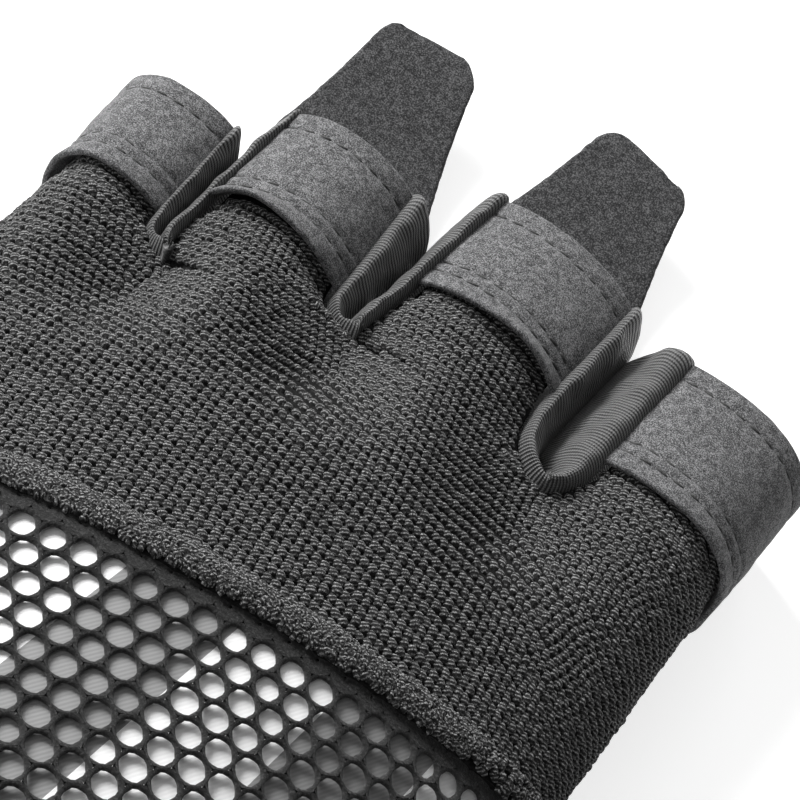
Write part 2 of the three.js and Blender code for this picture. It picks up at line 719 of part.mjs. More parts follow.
// A leather paddle sewn to the end of finger i on the palm side, to pull the glove off by: as
// narrow as the palm under the finger, then flaring and tapering to its round-cornered tip
function pullTab(i) {
  const f = FINGERS[i]
  const base = (t) => {
    const foot = gussetPath(t < 0 ? i - 1 : i, t < 0 ? 1 : 0).foot
    return foot.x
  }
  const left = base(-1)
  const right = base(1)
  const length = TAB_LENGTH + TAB_SEAM - CLEARANCE
  const rows = TAB_STATIONS.length - 1
  return new Sheet().grid(TAB_COLUMNS, rows, (u, v) => {
    const t = 2 * u - 1
    const run = TAB_STATIONS[Math.round(v * rows)]
    const d = run * length
    const toTip = length - d
    const round = toTip < TAB_CORNER
      ? TAB_CORNER - sqrt(max(0, TAB_CORNER ** 2 - (TAB_CORNER - toTip) ** 2)) : 0
    const paddle = mix(f.tab.tip, f.tab.root, (1 - run) ** TAB_TAPER) * HAND_WIDTH
    const flare = smooth((d - TAB_SEAM - 2 * CLEARANCE) / TAB_FLARE)
    const half = mix((right - left) / 2, paddle, flare) - round
    const x = (left + right) / 2 + t * half + f.tab.lean * d
    const y = tongueEnd(i, t) + CLEARANCE + d
    const z = TAB_RISE * smooth(d / length) * clamp(d / length)
    return { p: new THREE.Vector3(x, y, z), outer: PALM_WALL, inner: 0 }
  }).solid()
}

const glove = new THREE.Group()
function add(name, geometry, material) {
  const mesh = new THREE.Mesh(geometry, material)
  mesh.name = name
  glove.add(mesh)
}

const bore = thumbBore()
add('knuckle_panel', cut(knucklePanel(), bore), MATERIALS.knit)
FINGERS.forEach((f, i) => add(`${f.name}_band`, fingerBand(i), MATERIALS.suede))
WEBS.forEach((_, k) => add(
  `gusset_${FINGERS[k].name}_${FINGERS[k + 1].name}`, gusset(k), MATERIALS.stretch))
add('palm_panel', cut(palmPanel(), bore), MATERIALS.palm)
add('back_net', backNet(bore), MATERIALS.net)
add('back_lining', backLining(bore), MATERIALS.lining)
add('ring_pull_tab', pullTab(1), MATERIALS.palm)
add('middle_pull_tab', pullTab(2), MATERIALS.palm)
add('thumb_sleeve', thumbSleeve(), MATERIALS.palm)
add('thumb_band', thumbBand(), MATERIALS.suede)
add('wrist_cuff', wristCuff(), MATERIALS.stretch)

// The origin is the middle of the footprint, on the surface that the palm lies on
const box = new THREE.Box3().setFromObject(glove)
const middle = box.getCenter(new THREE.Vector3())
glove.position.set(-middle.x, -middle.y, -box.min.z)
glove.updateMatrixWorld(true)

export default glove
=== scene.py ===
# %% [markdown]
# A weightlifting glove, cell by cell: a coarse knit over the knuckles, four suede finger bands,
# rolled stretch gussets between the fingers, an open net over a striped lining, and the palm,
# thumb, pull tabs and cuff. Each cell works one piece or finish out with numpy and puts it in
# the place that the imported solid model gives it.

import json

import bmesh
import bpy
import numpy as np
from mathutils import Matrix, Vector


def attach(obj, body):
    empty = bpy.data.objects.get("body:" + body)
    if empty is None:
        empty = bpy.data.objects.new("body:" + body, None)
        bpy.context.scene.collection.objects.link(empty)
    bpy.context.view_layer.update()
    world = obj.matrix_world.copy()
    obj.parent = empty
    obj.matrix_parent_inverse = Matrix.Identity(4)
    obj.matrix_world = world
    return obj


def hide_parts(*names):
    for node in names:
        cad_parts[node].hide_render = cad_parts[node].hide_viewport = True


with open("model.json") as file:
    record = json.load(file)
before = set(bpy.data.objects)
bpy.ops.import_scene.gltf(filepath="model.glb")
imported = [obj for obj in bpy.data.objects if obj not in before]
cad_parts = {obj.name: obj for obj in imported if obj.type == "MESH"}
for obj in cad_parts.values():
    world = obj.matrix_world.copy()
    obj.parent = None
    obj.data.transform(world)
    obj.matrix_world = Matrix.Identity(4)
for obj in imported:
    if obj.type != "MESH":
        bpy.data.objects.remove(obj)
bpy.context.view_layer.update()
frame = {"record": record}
random = np.random.default_rng(7)

# %% [markdown]
# The camera comes first. It stands 210 mm from the knuckles with a long lens, 53 degrees up on
# the wrist's side, and is rolled so that the fingers point to the upper right. The record's
# mount on the palm is at (-5, -30, 0) in the hand's own frame, which gives that frame's shift.

# %% Camera
MOUNT = np.array(frame["record"]["mounts"][0]["pos_m"]) * 1000
SHIFT = MOUNT - np.array([-5.0, -30.0, 0.0])
VIEW_TARGET = np.array([0.0, 0.0, 25.0])
VIEW_DISTANCE = 210.0
azimuth, elevation, roll = np.radians([9, 53, 32])
towards = np.array([np.sin(azimuth) * np.cos(elevation), -np.cos(azimuth) * np.cos(elevation),
                    np.sin(elevation)])
level = np.array([np.cos(azimuth), np.sin(azimuth), 0.0])
upright = np.cross(towards, level)
right = level * np.cos(roll) + upright * np.sin(roll)
up = upright * np.cos(roll) - level * np.sin(roll)

camera_data = bpy.data.cameras.new("camera")
camera_data.lens = 84
camera_data.sensor_width = 36
camera_data.clip_start = 0.01
camera = bpy.data.objects.new("camera", camera_data)
place = Matrix.Identity(4)
place_at = (VIEW_TARGET + towards * VIEW_DISTANCE + SHIFT) / 1000
for row in range(3):
    place[row][0], place[row][1], place[row][2] = right[row], up[row], towards[row]
    place[row][3] = place_at[row]
camera.matrix_world = place
bpy.context.collection.objects.link(camera)
bpy.context.scene.camera = camera
print("camera at", [round(v, 4) for v in place_at])

# %% [markdown]
# A soft studio. One large soft light stands on the little finger's side, where the suede is
# brightest. A weaker one behind the fingers draws the rims, a wide weak one stands on the
# wrist's side, and the room's own white light fills the rest. Small lights would give hard
# shadows that such a picture doesn't have.

# %% Floor and lights
def soft_light(name, position, size, power):
    """A square light of the given size in millimetres that faces the knuckles."""
    data = bpy.data.lights.new(name, "AREA")
    data.shape = "SQUARE"
    data.size = size / 1000
    data.energy = power
    light = bpy.data.objects.new(name, data)
    position = Vector(position) / 1000
    aim = Vector(VIEW_TARGET) / 1000 - position
    light.rotation_euler = aim.to_track_quat("-Z", "Y").to_euler()
    light.location = position
    bpy.context.collection.objects.link(light)


soft_light("key_light", (-680, 200, 500), 340, 12)
soft_light("rim_light", (-80, 800, 460), 500, 2.2)
soft_light("front_light", (-430, -560, 700), 700, 2.1)
world = bpy.data.worlds.new("studio")
world.use_nodes = True
world.node_tree.nodes["Background"].inputs["Color"].default_value = (1, 1, 1, 1)
world.node_tree.nodes["Background"].inputs["Strength"].default_value = 0.14
bpy.context.scene.world = world
bpy.context.scene.view_settings.view_transform = "Standard"


# %% [markdown]
# The glove's form is a hand: one outline for the back, and a finger for each of four strips that
# meet at the webs. It could be sculpted by eye, but the knit, the bands, the net and the lining
# have to lie on one another, so each is drawn from the same few formulas and named sizes, which
# are also those of the solid model. Lengths are millimetres in the hand's own frame: fingers
# along +Y, the little finger on -X, the line of the webs at Y = 0 and the table at Z = 0.

# %% Sizes of the hand and its covering
HAND_WIDTH = 91.2
HAND_HEIGHT = 31
BACK_LENGTH = 112
BAND_START = 18.8
BAND_LENGTH = 20
WEB_OPENING = 4.5
PALM_WEB_STEP = 7
KNUCKLE_BLEND = 24
WEB_HOLD = 12
CLEARANCE = 0.3
KNIT_WALL = 1.4
BAND_PROUD = 0.9
BAND_WALL = 1.2
BAND_SINK = BAND_WALL - BAND_PROUD + CLEARANCE
PALM_WALL = 1.8
CUFF_WALL = 1.9
CUFF_EASE = 0.6
SIDE_SEAM = 0.6
SEAM_SETBACK = 37.6
SEAM_SLOPE = 0.235
FINGER_ARC = np.radians(55)
HAND_WRAP = np.radians(125)
FINGER_WRAP = np.radians(148)
FLATNESS = 0.6

# Sections of the hand from the wrist to the fingers: along as a share of the back's length,
# centre and half width as shares of the hand's width, side and crown as shares of its height,
# and whether the palm side is lifted by the cuff's thickness
SECTION_COLUMNS = ("along", "centre", "half", "side", "crown", "lift")
HAND_SECTIONS = np.array([
    (-1.000, -0.022, 0.340, 0.613, 1.290, 1),
    (-0.821, -0.022, 0.329, 0.613, 1.290, 1),
    (-0.750, -0.024, 0.357, 0.600, 1.270, 1),
    (-0.643, -0.031, 0.406, 0.565, 1.210, 0),
    (-0.429, -0.043, 0.484, 0.484, 1.084, 0),
    (-0.223, -0.047, 0.504, 0.436, 1.000, 0),
    (0.000, -0.044, 0.512, 0.419, 0.935, 0),
    (0.268, -0.044, 0.512, 0.403, 0.806, 0),
])

# Each finger's place, half width, heights and lean as shares of the sizes above; the little and
# index fingers also have an outer half width and a waist for their free sides, and the two
# middle ones the lean and half widths of their pull tabs
FINGERS = [
    dict(across=-0.478, lean=-0.15, half=0.0724, tip_half=0.0757, crown=0.645, tip_crown=0.574,
         edge=0.571, tip_edge=0.519, start=0.160, band=0.93, outer=0.0800, waist=0.339),
    dict(across=-0.261, lean=-0.08, half=0.1009, tip_half=0.0932, crown=0.729, tip_crown=0.671,
         edge=0.584, tip_edge=0.571, start=0.564, band=0.99,
         tab_lean=-0.17, tab_root=0.185, tab_tip=0.079),
    dict(across=0.008, lean=0.045, half=0.1118, tip_half=0.1118, crown=0.748, tip_crown=0.694,
         edge=0.623, tip_edge=0.610, start=1.0, band=1.0,
         tab_lean=-0.043, tab_root=0.194, tab_tip=0.082),
    dict(across=0.338, lean=0.06, half=0.0998, tip_half=0.0998, crown=0.729, tip_crown=0.671,
         edge=0.648, tip_edge=0.616, start=0.777, band=1.10, outer=0.1240, waist=0.371),
]
WEBS = [
    dict(across=-0.346, along=-0.085, height=0.619, opening=0.89),
    dict(across=-0.101, along=0.319, height=0.661, opening=1.0),
    dict(across=0.202, along=0.290, height=0.684, opening=1.33),
]


# %% The hand's outline
def mix(a, b, t):
    """Straight from a to b as t goes from 0 to 1."""
    return a + (b - a) * t


def clamp(v):
    """v kept between 0 and 1."""
    return np.clip(v, 0, 1)


def smooth(v):
    """3 v^2 - 2 v^3 between 0 and 1, flat at both ends."""
    v = clamp(v)
    return v * v * (3 - 2 * v)


def unit(v):
    """Vectors divided by their lengths."""
    return v / np.maximum(np.linalg.norm(v, axis=-1, keepdims=True), 1e-9)


def hand_value(column, y):
    """One column of the sections at y: the cubic that keeps each section's value and slope."""
    at = HAND_SECTIONS[:, 0] * BACK_LENGTH
    value = HAND_SECTIONS[:, SECTION_COLUMNS.index(column)]
    slope = np.empty(len(at))
    slope[1:-1] = (value[2:] - value[:-2]) / (at[2:] - at[:-2])
    slope[0] = (value[1] - value[0]) / (at[1] - at[0])
    slope[-1] = (value[-1] - value[-2]) / (at[-1] - at[-2])
    y = np.clip(y, at[0], at[-1])
    k = np.clip(np.searchsorted(at, y) - 1, 0, len(at) - 2)
    span = at[k + 1] - at[k]
    s = (y - at[k]) / span
    return ((1 + 2 * s) * (1 - s) ** 2 * value[k] + s * (1 - s) ** 2 * span * slope[k]
            + s * s * (3 - 2 * s) * value[k + 1] + s * s * (s - 1) * span * slope[k + 1])


def palm_lift(y):
    """How far the cuff's thickness lifts the palm side at y."""
    return clamp(hand_value("lift", y)) * (CUFF_WALL + CUFF_EASE)


def arch(angle, y):
    """The back's surface at a hand angle, 0 on the crown and positive on the index side:
    (half sin a, side + (crown - side) cos a), and below the side's height the same with both
    sine and cosine raised to FLATNESS, so that the side turns under."""
    angle, y = np.broadcast_arrays(np.asarray(angle, float), np.asarray(y, float))
    centre = hand_value("centre", y) * HAND_WIDTH
    half = hand_value("half", y) * HAND_WIDTH
    side = hand_value("side", y) * HAND_HEIGHT
    crown = hand_value("crown", y) * HAND_HEIGHT
    s, c = np.sin(angle), np.cos(angle)
    upper = c >= 0
    x = centre + half * np.where(upper, s, np.sign(s) * np.abs(s) ** FLATNESS)
    low = side - (side - palm_lift(y)) * np.abs(c) ** FLATNESS
    return np.stack([x, y, np.where(upper, side + (crown - side) * c, low)], -1)


# %% The fingers' strips
def web(k):
    """Place, height and opening of web k."""
    w = WEBS[k]
    return (w["across"] * HAND_WIDTH, w["along"] * BAND_START,
            w["height"] * HAND_HEIGHT, w["opening"] * WEB_OPENING)


def web_beside(i, side):
    """The web on one side of finger i, or None on a free side."""
    k = i - 1 if side < 0 else i
    return web(k) if 0 <= k < len(WEBS) else None


def start_of(i):
    return FINGERS[i]["start"] * BAND_START


def end_of(i):
    return start_of(i) + FINGERS[i]["band"] * BAND_LENGTH


def web_line(i, t):
    """The height of the straight line between finger i's two webs, at t."""
    left = web_beside(i, -1) or web_beside(i, 1)
    right = web_beside(i, 1) or web_beside(i, -1)
    return mix(left[1], right[1], (t + 1) / 2)


def finger_point(i, t, y):
    """Finger i's own surface, t from -1 on its little finger side to 1 on its index side.

    Between webs it is an arc: x = centre + half sin(A t) / sin A, and the height falls from the
    crown to the edge as (cos A t - cos A) / (1 - cos A). Below the web the height falls as
    (1 + cos pi t) / 2, which meets the next finger in a round valley. A free side is a quarter
    ellipse from the crown to the waist, and a flattened one from there down to the table."""
    f = FINGERS[i]
    t, y = np.broadcast_arrays(np.asarray(t, float), np.asarray(y, float))
    u = np.clip((y - start_of(i)) / (end_of(i) - start_of(i)), -2, 1.3)
    centre = f["across"] * HAND_WIDTH + f["lean"] * y
    half = mix(f["half"], f["tip_half"], u) * HAND_WIDTH
    crown = mix(f["crown"], f["tip_crown"], u) * HAND_HEIGHT
    edge = mix(f["edge"], f["tip_edge"], u) * HAND_HEIGHT
    arc = (np.cos(t * FINGER_ARC) - np.cos(FINGER_ARC)) / (1 - np.cos(FINGER_ARC))
    valley = (1 + np.cos(np.pi * t)) / 2
    rise = mix(valley, arc, smooth((y - web_line(i, t)) / (2 * WEB_OPENING)))
    x = centre + half * np.sin(t * FINGER_ARC) / np.sin(FINGER_ARC)
    z = edge + (crown - edge) * rise
    if "outer" in f:
        free = -1 if i == 0 else 1
        a = np.abs(t) * FINGER_WRAP
        s, c = np.abs(np.sin(a)), np.cos(a)
        waist = f["waist"] * HAND_HEIGHT
        out = f["outer"] * HAND_WIDTH
        side_x = centre + free * out * np.where(c > 0, s, s ** FLATNESS)
        side_z = np.where(c > 0, waist + (crown - waist) * c, waist * (1 - np.abs(c) ** FLATNESS))
        on_side = t * free > 0
        x = np.where(on_side, side_x, x)
        z = np.where(on_side, side_z, z)
    return np.stack([x, y, z], -1)


def angle_across(x):
    """The hand angle of a place x at the line of the webs."""
    return np.arcsin((x / HAND_WIDTH - hand_value("centre", 0)) / hand_value("half", 0))


def strip_angle(i, t):
    """The hand angle that finger i's strip has at t."""
    if i in (0, 3):
        middle = angle_across(FINGERS[i]["across"] * HAND_WIDTH)
        free = -1 if i == 0 else 1
        inner = angle_across(web_beside(i, -free)[0])
        return mix(middle, np.where(t * free > 0, free * HAND_WRAP, inner), np.abs(t))
    return mix(angle_across(web(i - 1)[0]), angle_across(web(i)[0]), (t + 1) / 2)


def blended_point(i, t, y):
    """The hand's outline turning smoothly into finger i's over the knuckles."""
    begin = web_line(i, t) - KNUCKLE_BLEND
    w = smooth((y - begin) / (start_of(i) + 2 - begin))[..., None]
    return mix(arch(strip_angle(i, t), y), finger_point(i, t, y), w)


def strip(i, t, y):
    """Finger i's strip of the back. Below a web its edge is drawn to the mean of its own and its
    neighbour's, held to the web's own point within WEB_HOLD; above it the edge parts from the
    middle as sqrt(1 - (1 - u)^2), which is the round of the web."""
    t, y = np.broadcast_arrays(np.asarray(t, float), np.asarray(y, float))
    point = blended_point(i, t, y)
    for side in (-1, 1):
        w = web_beside(i, side)
        if w is None:
            continue
        own = blended_point(i, np.full_like(y, side), y)
        other = blended_point(i + side, np.full_like(y, -side), y)
        hold = np.exp(-(((y - w[1]) / WEB_HOLD) ** 2))[..., None]
        held = np.stack([np.full_like(y, w[0]), y, np.full_like(y, w[2])], -1)
        joined = mix(mix(own, other, 0.5), held, hold)
        u = clamp((y - w[1]) / w[3])
        edge = mix(joined, own, np.sqrt(1 - (1 - u) ** 2)[..., None])
        point = point + (edge - own) * smooth(t * side)[..., None]
    return point


def strip_ways(i, t, y):
    """Directions on finger i's strip: across it, and square out of it."""
    beside = unit(strip(i, t + 0.004, y) - strip(i, t - 0.004, y))
    ahead = unit(strip(i, t, y + 0.2) - strip(i, t, y - 0.2))
    return beside, unit(np.cross(beside, ahead))


def band_line(i, t, past=0.0):
    """Where finger i's band starts, square to the finger's lean."""
    f = FINGERS[i]
    return start_of(i) + past - f["lean"] * f["half"] * HAND_WIDTH * t


def tip_line(i, t):
    """Where finger i's band ends."""
    f = FINGERS[i]
    return end_of(i) - f["lean"] * f["tip_half"] * HAND_WIDTH * t


def seam_line(angle):
    """The slanted seam between knit and net, by hand angle."""
    centre, half = HAND_SECTIONS[5, 1:3]
    return SEAM_SLOPE * (centre + half * np.sin(angle)) * HAND_WIDTH - SEAM_SETBACK


# %% [markdown]
# Every piece starts as arrays of points. One function turns them into a mesh, and another gives
# an open sheet its thickness with a rounded rim, because cut suede and folded knit never end in
# a sharp corner. Solidify with a bevel could do the second too, but then the wall's depth could
# not change along an edge.

# %% Meshes from arrays
def mesh_piece(name, points, faces, uv=None):
    """An object at the origin. Points are millimetres in the hand's frame, faces a list of
    arrays of corner numbers, one array for each number of corners, and uv one row a point."""
    mesh = bpy.data.meshes.new(name)
    points = np.asarray(points, float).reshape(-1, 3)
    mesh.vertices.add(len(points))
    mesh.vertices.foreach_set("co", ((points + SHIFT) / 1000).ravel())
    corners = np.concatenate([f.ravel() for f in faces])
    counts = np.concatenate([np.full(len(f), f.shape[1]) for f in faces])
    mesh.loops.add(len(corners))
    mesh.loops.foreach_set("vertex_index", corners.astype(np.int32))
    mesh.polygons.add(len(counts))
    mesh.polygons.foreach_set("loop_start", (np.cumsum(counts) - counts).astype(np.int32))
    mesh.polygons.foreach_set("use_smooth", np.full(len(counts), True))
    mesh.update(calc_edges=True)
    if uv is not None:
        layer = mesh.uv_layers.new(name="cloth")
        layer.data.foreach_set("uv", np.asarray(uv, np.float32).reshape(-1, 2)[corners].ravel())
    obj = bpy.data.objects.new(name, mesh)
    bpy.context.collection.objects.link(obj)
    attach(obj, "root")
    print(name, int((counts - 2).sum()), "triangles")
    return obj


def grid_faces(rows, columns, wrap_columns=False, wrap_rows=False, first=0):
    """The four corners of every cell of a grid of rows by columns points."""
    r = np.arange(rows if wrap_rows else rows - 1)[:, None]
    c = np.arange(columns if wrap_columns else columns - 1)[None, :]
    r2, c2 = (r + 1) % rows, (c + 1) % columns
    cells = np.stack([r * columns + c, r * columns + c2, r2 * columns + c2, r2 * columns + c], -1)
    return cells.reshape(-1, 4) + first


def normals_of(points):
    """Outward directions of a grid of points: across the columns times along the rows."""
    across = np.gradient(points, axis=1)
    along = np.gradient(points, axis=0)
    return unit(np.cross(across, along))


def thick_sheet(name, points, outer, inner, uv=None, rim_steps=4, swell=0.6):
    """A closed sheet. Its faces lie outer above and inner below the grid of points, and its rim
    is a half ellipse between them, swell times half the thickness wide."""
    rows, columns = points.shape[:2]
    normal = normals_of(points)
    outer = np.broadcast_to(outer, (rows, columns))[..., None]
    inner = np.broadcast_to(inner, (rows, columns))[..., None]
    top = (points + normal * outer).reshape(-1, 3)
    bottom = (points - normal * inner).reshape(-1, 3)
    number = np.arange(rows * columns).reshape(rows, columns)
    loop = np.concatenate([number[0, :-1], number[:-1, -1], number[-1, :0:-1], number[:0:-1, 0]])
    flat_normal = normal.reshape(-1, 3)[loop]
    rim_middle = (top[loop] + bottom[loop]) / 2
    half = np.linalg.norm(top[loop] - bottom[loop], axis=-1, keepdims=True) / 2
    ahead = unit(np.roll(rim_middle, -1, axis=0) - np.roll(rim_middle, 1, axis=0))
    outwards = unit(np.cross(ahead, flat_normal))
    turns = np.pi * np.arange(1, rim_steps) / rim_steps
    rim = (rim_middle + flat_normal * half * np.cos(turns)[:, None, None]
           + outwards * half * swell * np.sin(turns)[:, None, None])
    count = rows * columns
    edge = len(loop)
    rings = [loop] + [2 * count + edge * k + np.arange(edge) for k in range(rim_steps - 1)]
    rings.append(loop + count)
    faces = [grid_faces(rows, columns), grid_faces(rows, columns, first=count)[:, ::-1]]
    for high, low in zip(rings[:-1], rings[1:]):
        faces.append(np.stack([np.roll(high, -1), high, low, np.roll(low, -1)], -1))
    all_points = np.concatenate([top, bottom, rim.reshape(-1, 3)])
    if uv is not None:
        uv = np.asarray(uv, float).reshape(-1, 2)
        uv = np.concatenate([uv, uv, np.tile(uv[loop], (rim_steps - 1, 1))])
    return mesh_piece(name, all_points, faces, uv)


def ring_piece(name, rings, uv=None):
    """A closed surface carried round and round: a grid of points that wraps both ways."""
    rows, columns = rings.shape[:2]
    return mesh_piece(name, rings, [grid_faces(rows, columns, True, True)], uv)


def along_paths(points, axis=0):
    """Distance travelled along a grid of points in one direction."""
    step = np.linalg.norm(np.diff(points, axis=axis), axis=-1)
    start = np.zeros_like(np.take(step, [0], axis=axis))
    return np.cumsum(np.concatenate([start, step], axis=axis), axis=axis)


def ripples(p, size, seed=0, octaves=3):
    """Smooth random bumps between about -1 and 1: sums of sines whose directions and phases
    come from the seed, each octave half as wide and half as high as the one before."""
    chance = np.random.default_rng(seed)
    total = np.zeros(p.shape[:-1])
    for octave in range(octaves):
        ways = unit(chance.normal(size=(6, 3))) * 2 * np.pi / size * 2 ** octave
        phase = chance.uniform(0, 2 * np.pi, 6)
        waves = np.sin(np.einsum("...k,wk->...w", p, ways) + phase)
        total += waves.mean(-1) * 1.6 / 2 ** octave
    return total


# %% [markdown]
# Everything here is cloth or suede, so nothing shines: what the eye reads is yarn, nap and
# thread. Each finish is made of nodes, with its pattern sizes in real millimetres, and starts
# from a measured grey of the real cloth.

# %% A tool for finishes
def linear(hex_colour):
    """An sRGB hex colour as linear values: ((c + 0.055) / 1.055)^2.4 above the dark toe."""
    c = np.array([int(hex_colour[k:k + 2], 16) for k in (1, 3, 5)]) / 255
    c = np.where(c <= 0.04045, c / 12.92, ((c + 0.055) / 1.055) ** 2.4)
    return (*[float(v) for v in c], 1.0)


def add(tree, kind, settings=(), links=()):
    """One node: settings are properties or socket values by name, links are sockets by name."""
    node = tree.nodes.new(kind)
    for key, value in dict(settings).items():
        if isinstance(key, str) and hasattr(node, key):
            setattr(node, key, value)
        else:
            node.inputs[key].default_value = value
    for key, source in dict(links).items():
        tree.links.new(source, node.inputs[key])
    return node


def finish_of(name, roughness, sheen=0.0, sheen_roughness=0.5, specular=0.3):
    """A new finish with its shader on the output; gives the finish, its tree and the shader."""
    finish = bpy.data.materials.new(name)
    finish.use_nodes = True
    tree = finish.node_tree
    tree.nodes.clear()
    shader = add(tree, "ShaderNodeBsdfPrincipled", {
        "Roughness": roughness, "Sheen Weight": sheen, "Sheen Roughness": sheen_roughness,
        "Specular IOR Level": specular})
    output = add(tree, "ShaderNodeOutputMaterial", links={"Surface": shader.outputs["BSDF"]})
    output.is_active_output = True
    return finish, tree, shader


def noise(tree, size, **settings):
    """Noise whose pattern is about this many millimetres wide, fixed to the object."""
    where = add(tree, "ShaderNodeTexCoord").outputs["Object"]
    return add(tree, "ShaderNodeTexNoise", {"Scale": 1000.0 / size, **settings},
               {"Vector": where}).outputs["Fac"]


def waves(tree, pitch, direction="X", turn=0.0, **settings):
    """Sine bands this many millimetres apart on the piece's own map, turned by an angle. A
    wave texture repeats every 2 pi / 20 at scale 1."""
    place = add(tree, "ShaderNodeUVMap", {"uv_map": "cloth"}).outputs["UV"]
    if turn:
        place = add(tree, "ShaderNodeMapping", {"Rotation": (0, 0, turn)},
                    {"Vector": place}).outputs["Vector"]
    settings = {"Scale": 2 * np.pi / (20 * pitch), "bands_direction": direction, **settings}
    return add(tree, "ShaderNodeTexWave", settings, {"Vector": place}).outputs["Fac"]


def blend(tree, first, second, share):
    """Two values mixed, with this share of the second."""
    return add(tree, "ShaderNodeMix", {"data_type": "FLOAT", "Factor": share},
               {"A": first, "B": second}).outputs["Result"]


def stretched(tree, value, low, high):
    """A value spread so that low becomes 0 and high becomes 1."""
    return add(tree, "ShaderNodeMapRange", {"From Min": low, "From Max": high},
               {"Value": value}).outputs["Result"]


def emboss(tree, shader, height, strength, depth):
    """Relief from a height, depth in metres."""
    relief = add(tree, "ShaderNodeBump", {"Strength": strength, "Distance": depth},
                 {"Height": height})
    tree.links.new(relief.outputs["Normal"], shader.inputs["Normal"])


def colours(tree, source, *stops):
    """A ramp from the given source through (position, hex colour) stops."""
    ramp = add(tree, "ShaderNodeValToRGB", links={"Fac": source})
    while len(ramp.color_ramp.elements) < len(stops):
        ramp.color_ramp.elements.new(0.5)
    for element, (position, colour) in zip(ramp.color_ramp.elements, stops):
        element.position = position
        element.color = linear(colour)
    return ramp.outputs["Color"]


# %% [markdown]
# The knuckle knit is thick matt polyester yarn, air-textured so that it looks like wool. Its
# fibres catch light in short streaks, which is a stretched fine noise in colour and height.

# %% Charcoal yarn
YARN_TWIST = 0.42
yarn, tree, shader = finish_of("charcoal polyester yarn", 0.85, sheen=0.12, specular=0.25)
ply = waves(tree, YARN_TWIST, turn=np.radians(35),
            **{"Distortion": 1.5, "Detail": 2, "Detail Scale": 3.0})
twisted = blend(tree, noise(tree, 0.17, Detail=2, Roughness=0.6), ply, 0.3)
tree.links.new(colours(tree, stretched(tree, twisted, 0.36, 0.68), (0.0, "#0c0c0c"),
                       (0.45, "#2c2c2c"), (0.8, "#545454"), (1.0, "#9a9a9a")),
               shader.inputs["Base Color"])
emboss(tree, shader, twisted, 0.9, 0.00015)

# %% Ground of the knit, painted near black as the shade between the stitches
ground, tree, shader = finish_of("near-black knit ground, painted gap shade", 0.95, specular=0.1)
# near black: painted shade for the gaps between the stitches
tree.links.new(colours(tree, noise(tree, 0.4, Detail=3), (0.3, "#0c0c0c"), (0.75, "#262626")),
               shader.inputs["Base Color"])

# %% [markdown]
# The bands are microfibre suede, sanded to a short nap. The nap lies in small patches that turn
# lighter or darker, sprinkled with single bright and dark fibres.

# %% Grey suede of the bands
def suede(name, stops, fibre_size, patch_size, sheen, bump):
    """Sanded suede: a fine grain of fibre ends over wider patches of brushed nap."""
    finish, tree, shader = finish_of(name, 0.9, sheen=sheen, sheen_roughness=0.4, specular=0.2)
    grain = noise(tree, fibre_size, Detail=3, Roughness=0.65)
    nap = noise(tree, patch_size, Detail=4, Distortion=0.4)
    both = blend(tree, grain, nap, 0.22)
    tree.links.new(colours(tree, stretched(tree, both, 0.4, 0.6), *stops),
                   shader.inputs["Base Color"])
    emboss(tree, shader, both, bump, 0.00015)
    return finish


band_suede = suede("grey microfibre suede",
                   [(0.0, "#2e2e2f"), (0.5, "#575758"), (1.0, "#8e8e8f")], 0.17, 0.9, 0.1, 0.45)
palm_suede = suede("charcoal microfibre suede",
                   [(0.0, "#202021"), (0.5, "#3c3c3d"), (1.0, "#686869")], 0.22, 0.9, 0.12, 0.8)

# %% [markdown]
# The fourchettes are a fine ribbed stretch knit with a silky face. Their ribs run across the
# roll, 0.55 mm apart, so the finish reads the piece's own map: u is millimetres along the finger
# and v millimetres round the roll. The colour follows the ribs: painted highlight on the crests
# and painted shade in the grooves.

# %% Ribbed stretch cloth
LOOP_PITCH = 0.34


def ribbed(name, dark, light, pitch, depth, sheen, roughness, direction):
    """Fine ribs: a sine across the given direction of the piece's map, cut into loops by a
    weaker sine along it and roughened by noise. The colour follows the same relief, with painted
    highlight on the crests and painted shade in the grooves."""
    finish, tree, shader = finish_of(name, roughness, sheen=sheen, specular=0.45)
    rib = waves(tree, pitch, direction, **{"Distortion": 0.6, "Detail": 2, "Detail Scale": 2.0})
    loop = waves(tree, LOOP_PITCH, "Y" if direction == "X" else "X", Distortion=1.5, Detail=2)
    beaded = blend(tree, rib, loop, 0.25)
    both = blend(tree, beaded, noise(tree, 0.25, Detail=3), 0.3)
    # dark to light across the relief: painted shade in the grooves, painted highlight on the crests
    tree.links.new(colours(tree, both, (0.3, dark), (0.75, light)), shader.inputs["Base Color"])
    emboss(tree, shader, both, 1.0, depth)
    return finish


# the darker colour of each is painted rib shade and the lighter one painted rib highlight
stretch = ribbed("ribbed stretch knit", "#030303", "#727272", 0.55, 0.0003, 0.15, 0.5, "X")
cuff_elastic = ribbed("black woven elastic", "#141414", "#3c3c3c", 1.6, 0.0004, 0.15, 0.7, "X")

# %% [markdown]
# The net is a brushed spacer yarn, darker than the knit, and the sewing thread is twisted
# polyester, the smoothest thing on the glove.

# %% Net yarn and sewing thread
net_yarn, tree, shader = finish_of("brushed net yarn", 0.92, sheen=0.15, specular=0.2)
fuzz = noise(tree, 0.3, Detail=4, Roughness=0.7)
tree.links.new(colours(tree, fuzz, (0.3, "#121212"), (0.55, "#2b2b2b"), (0.8, "#5c5c5c")),
               shader.inputs["Base Color"])
emboss(tree, shader, fuzz, 0.9, 0.00025)

thread, tree, shader = finish_of("twisted polyester thread", 0.6, specular=0.4)
tree.links.new(colours(tree, noise(tree, 0.25, Detail=2), (0.3, "#202020"), (0.7, "#4a4a4a")),
               shader.inputs["Base Color"])

# %% [markdown]
# The lining is a twill with even stripes, white and grey, that run up the hand. Its map is in
# millimetres on the cloth, so the stripes keep their width where the back of the hand curves.

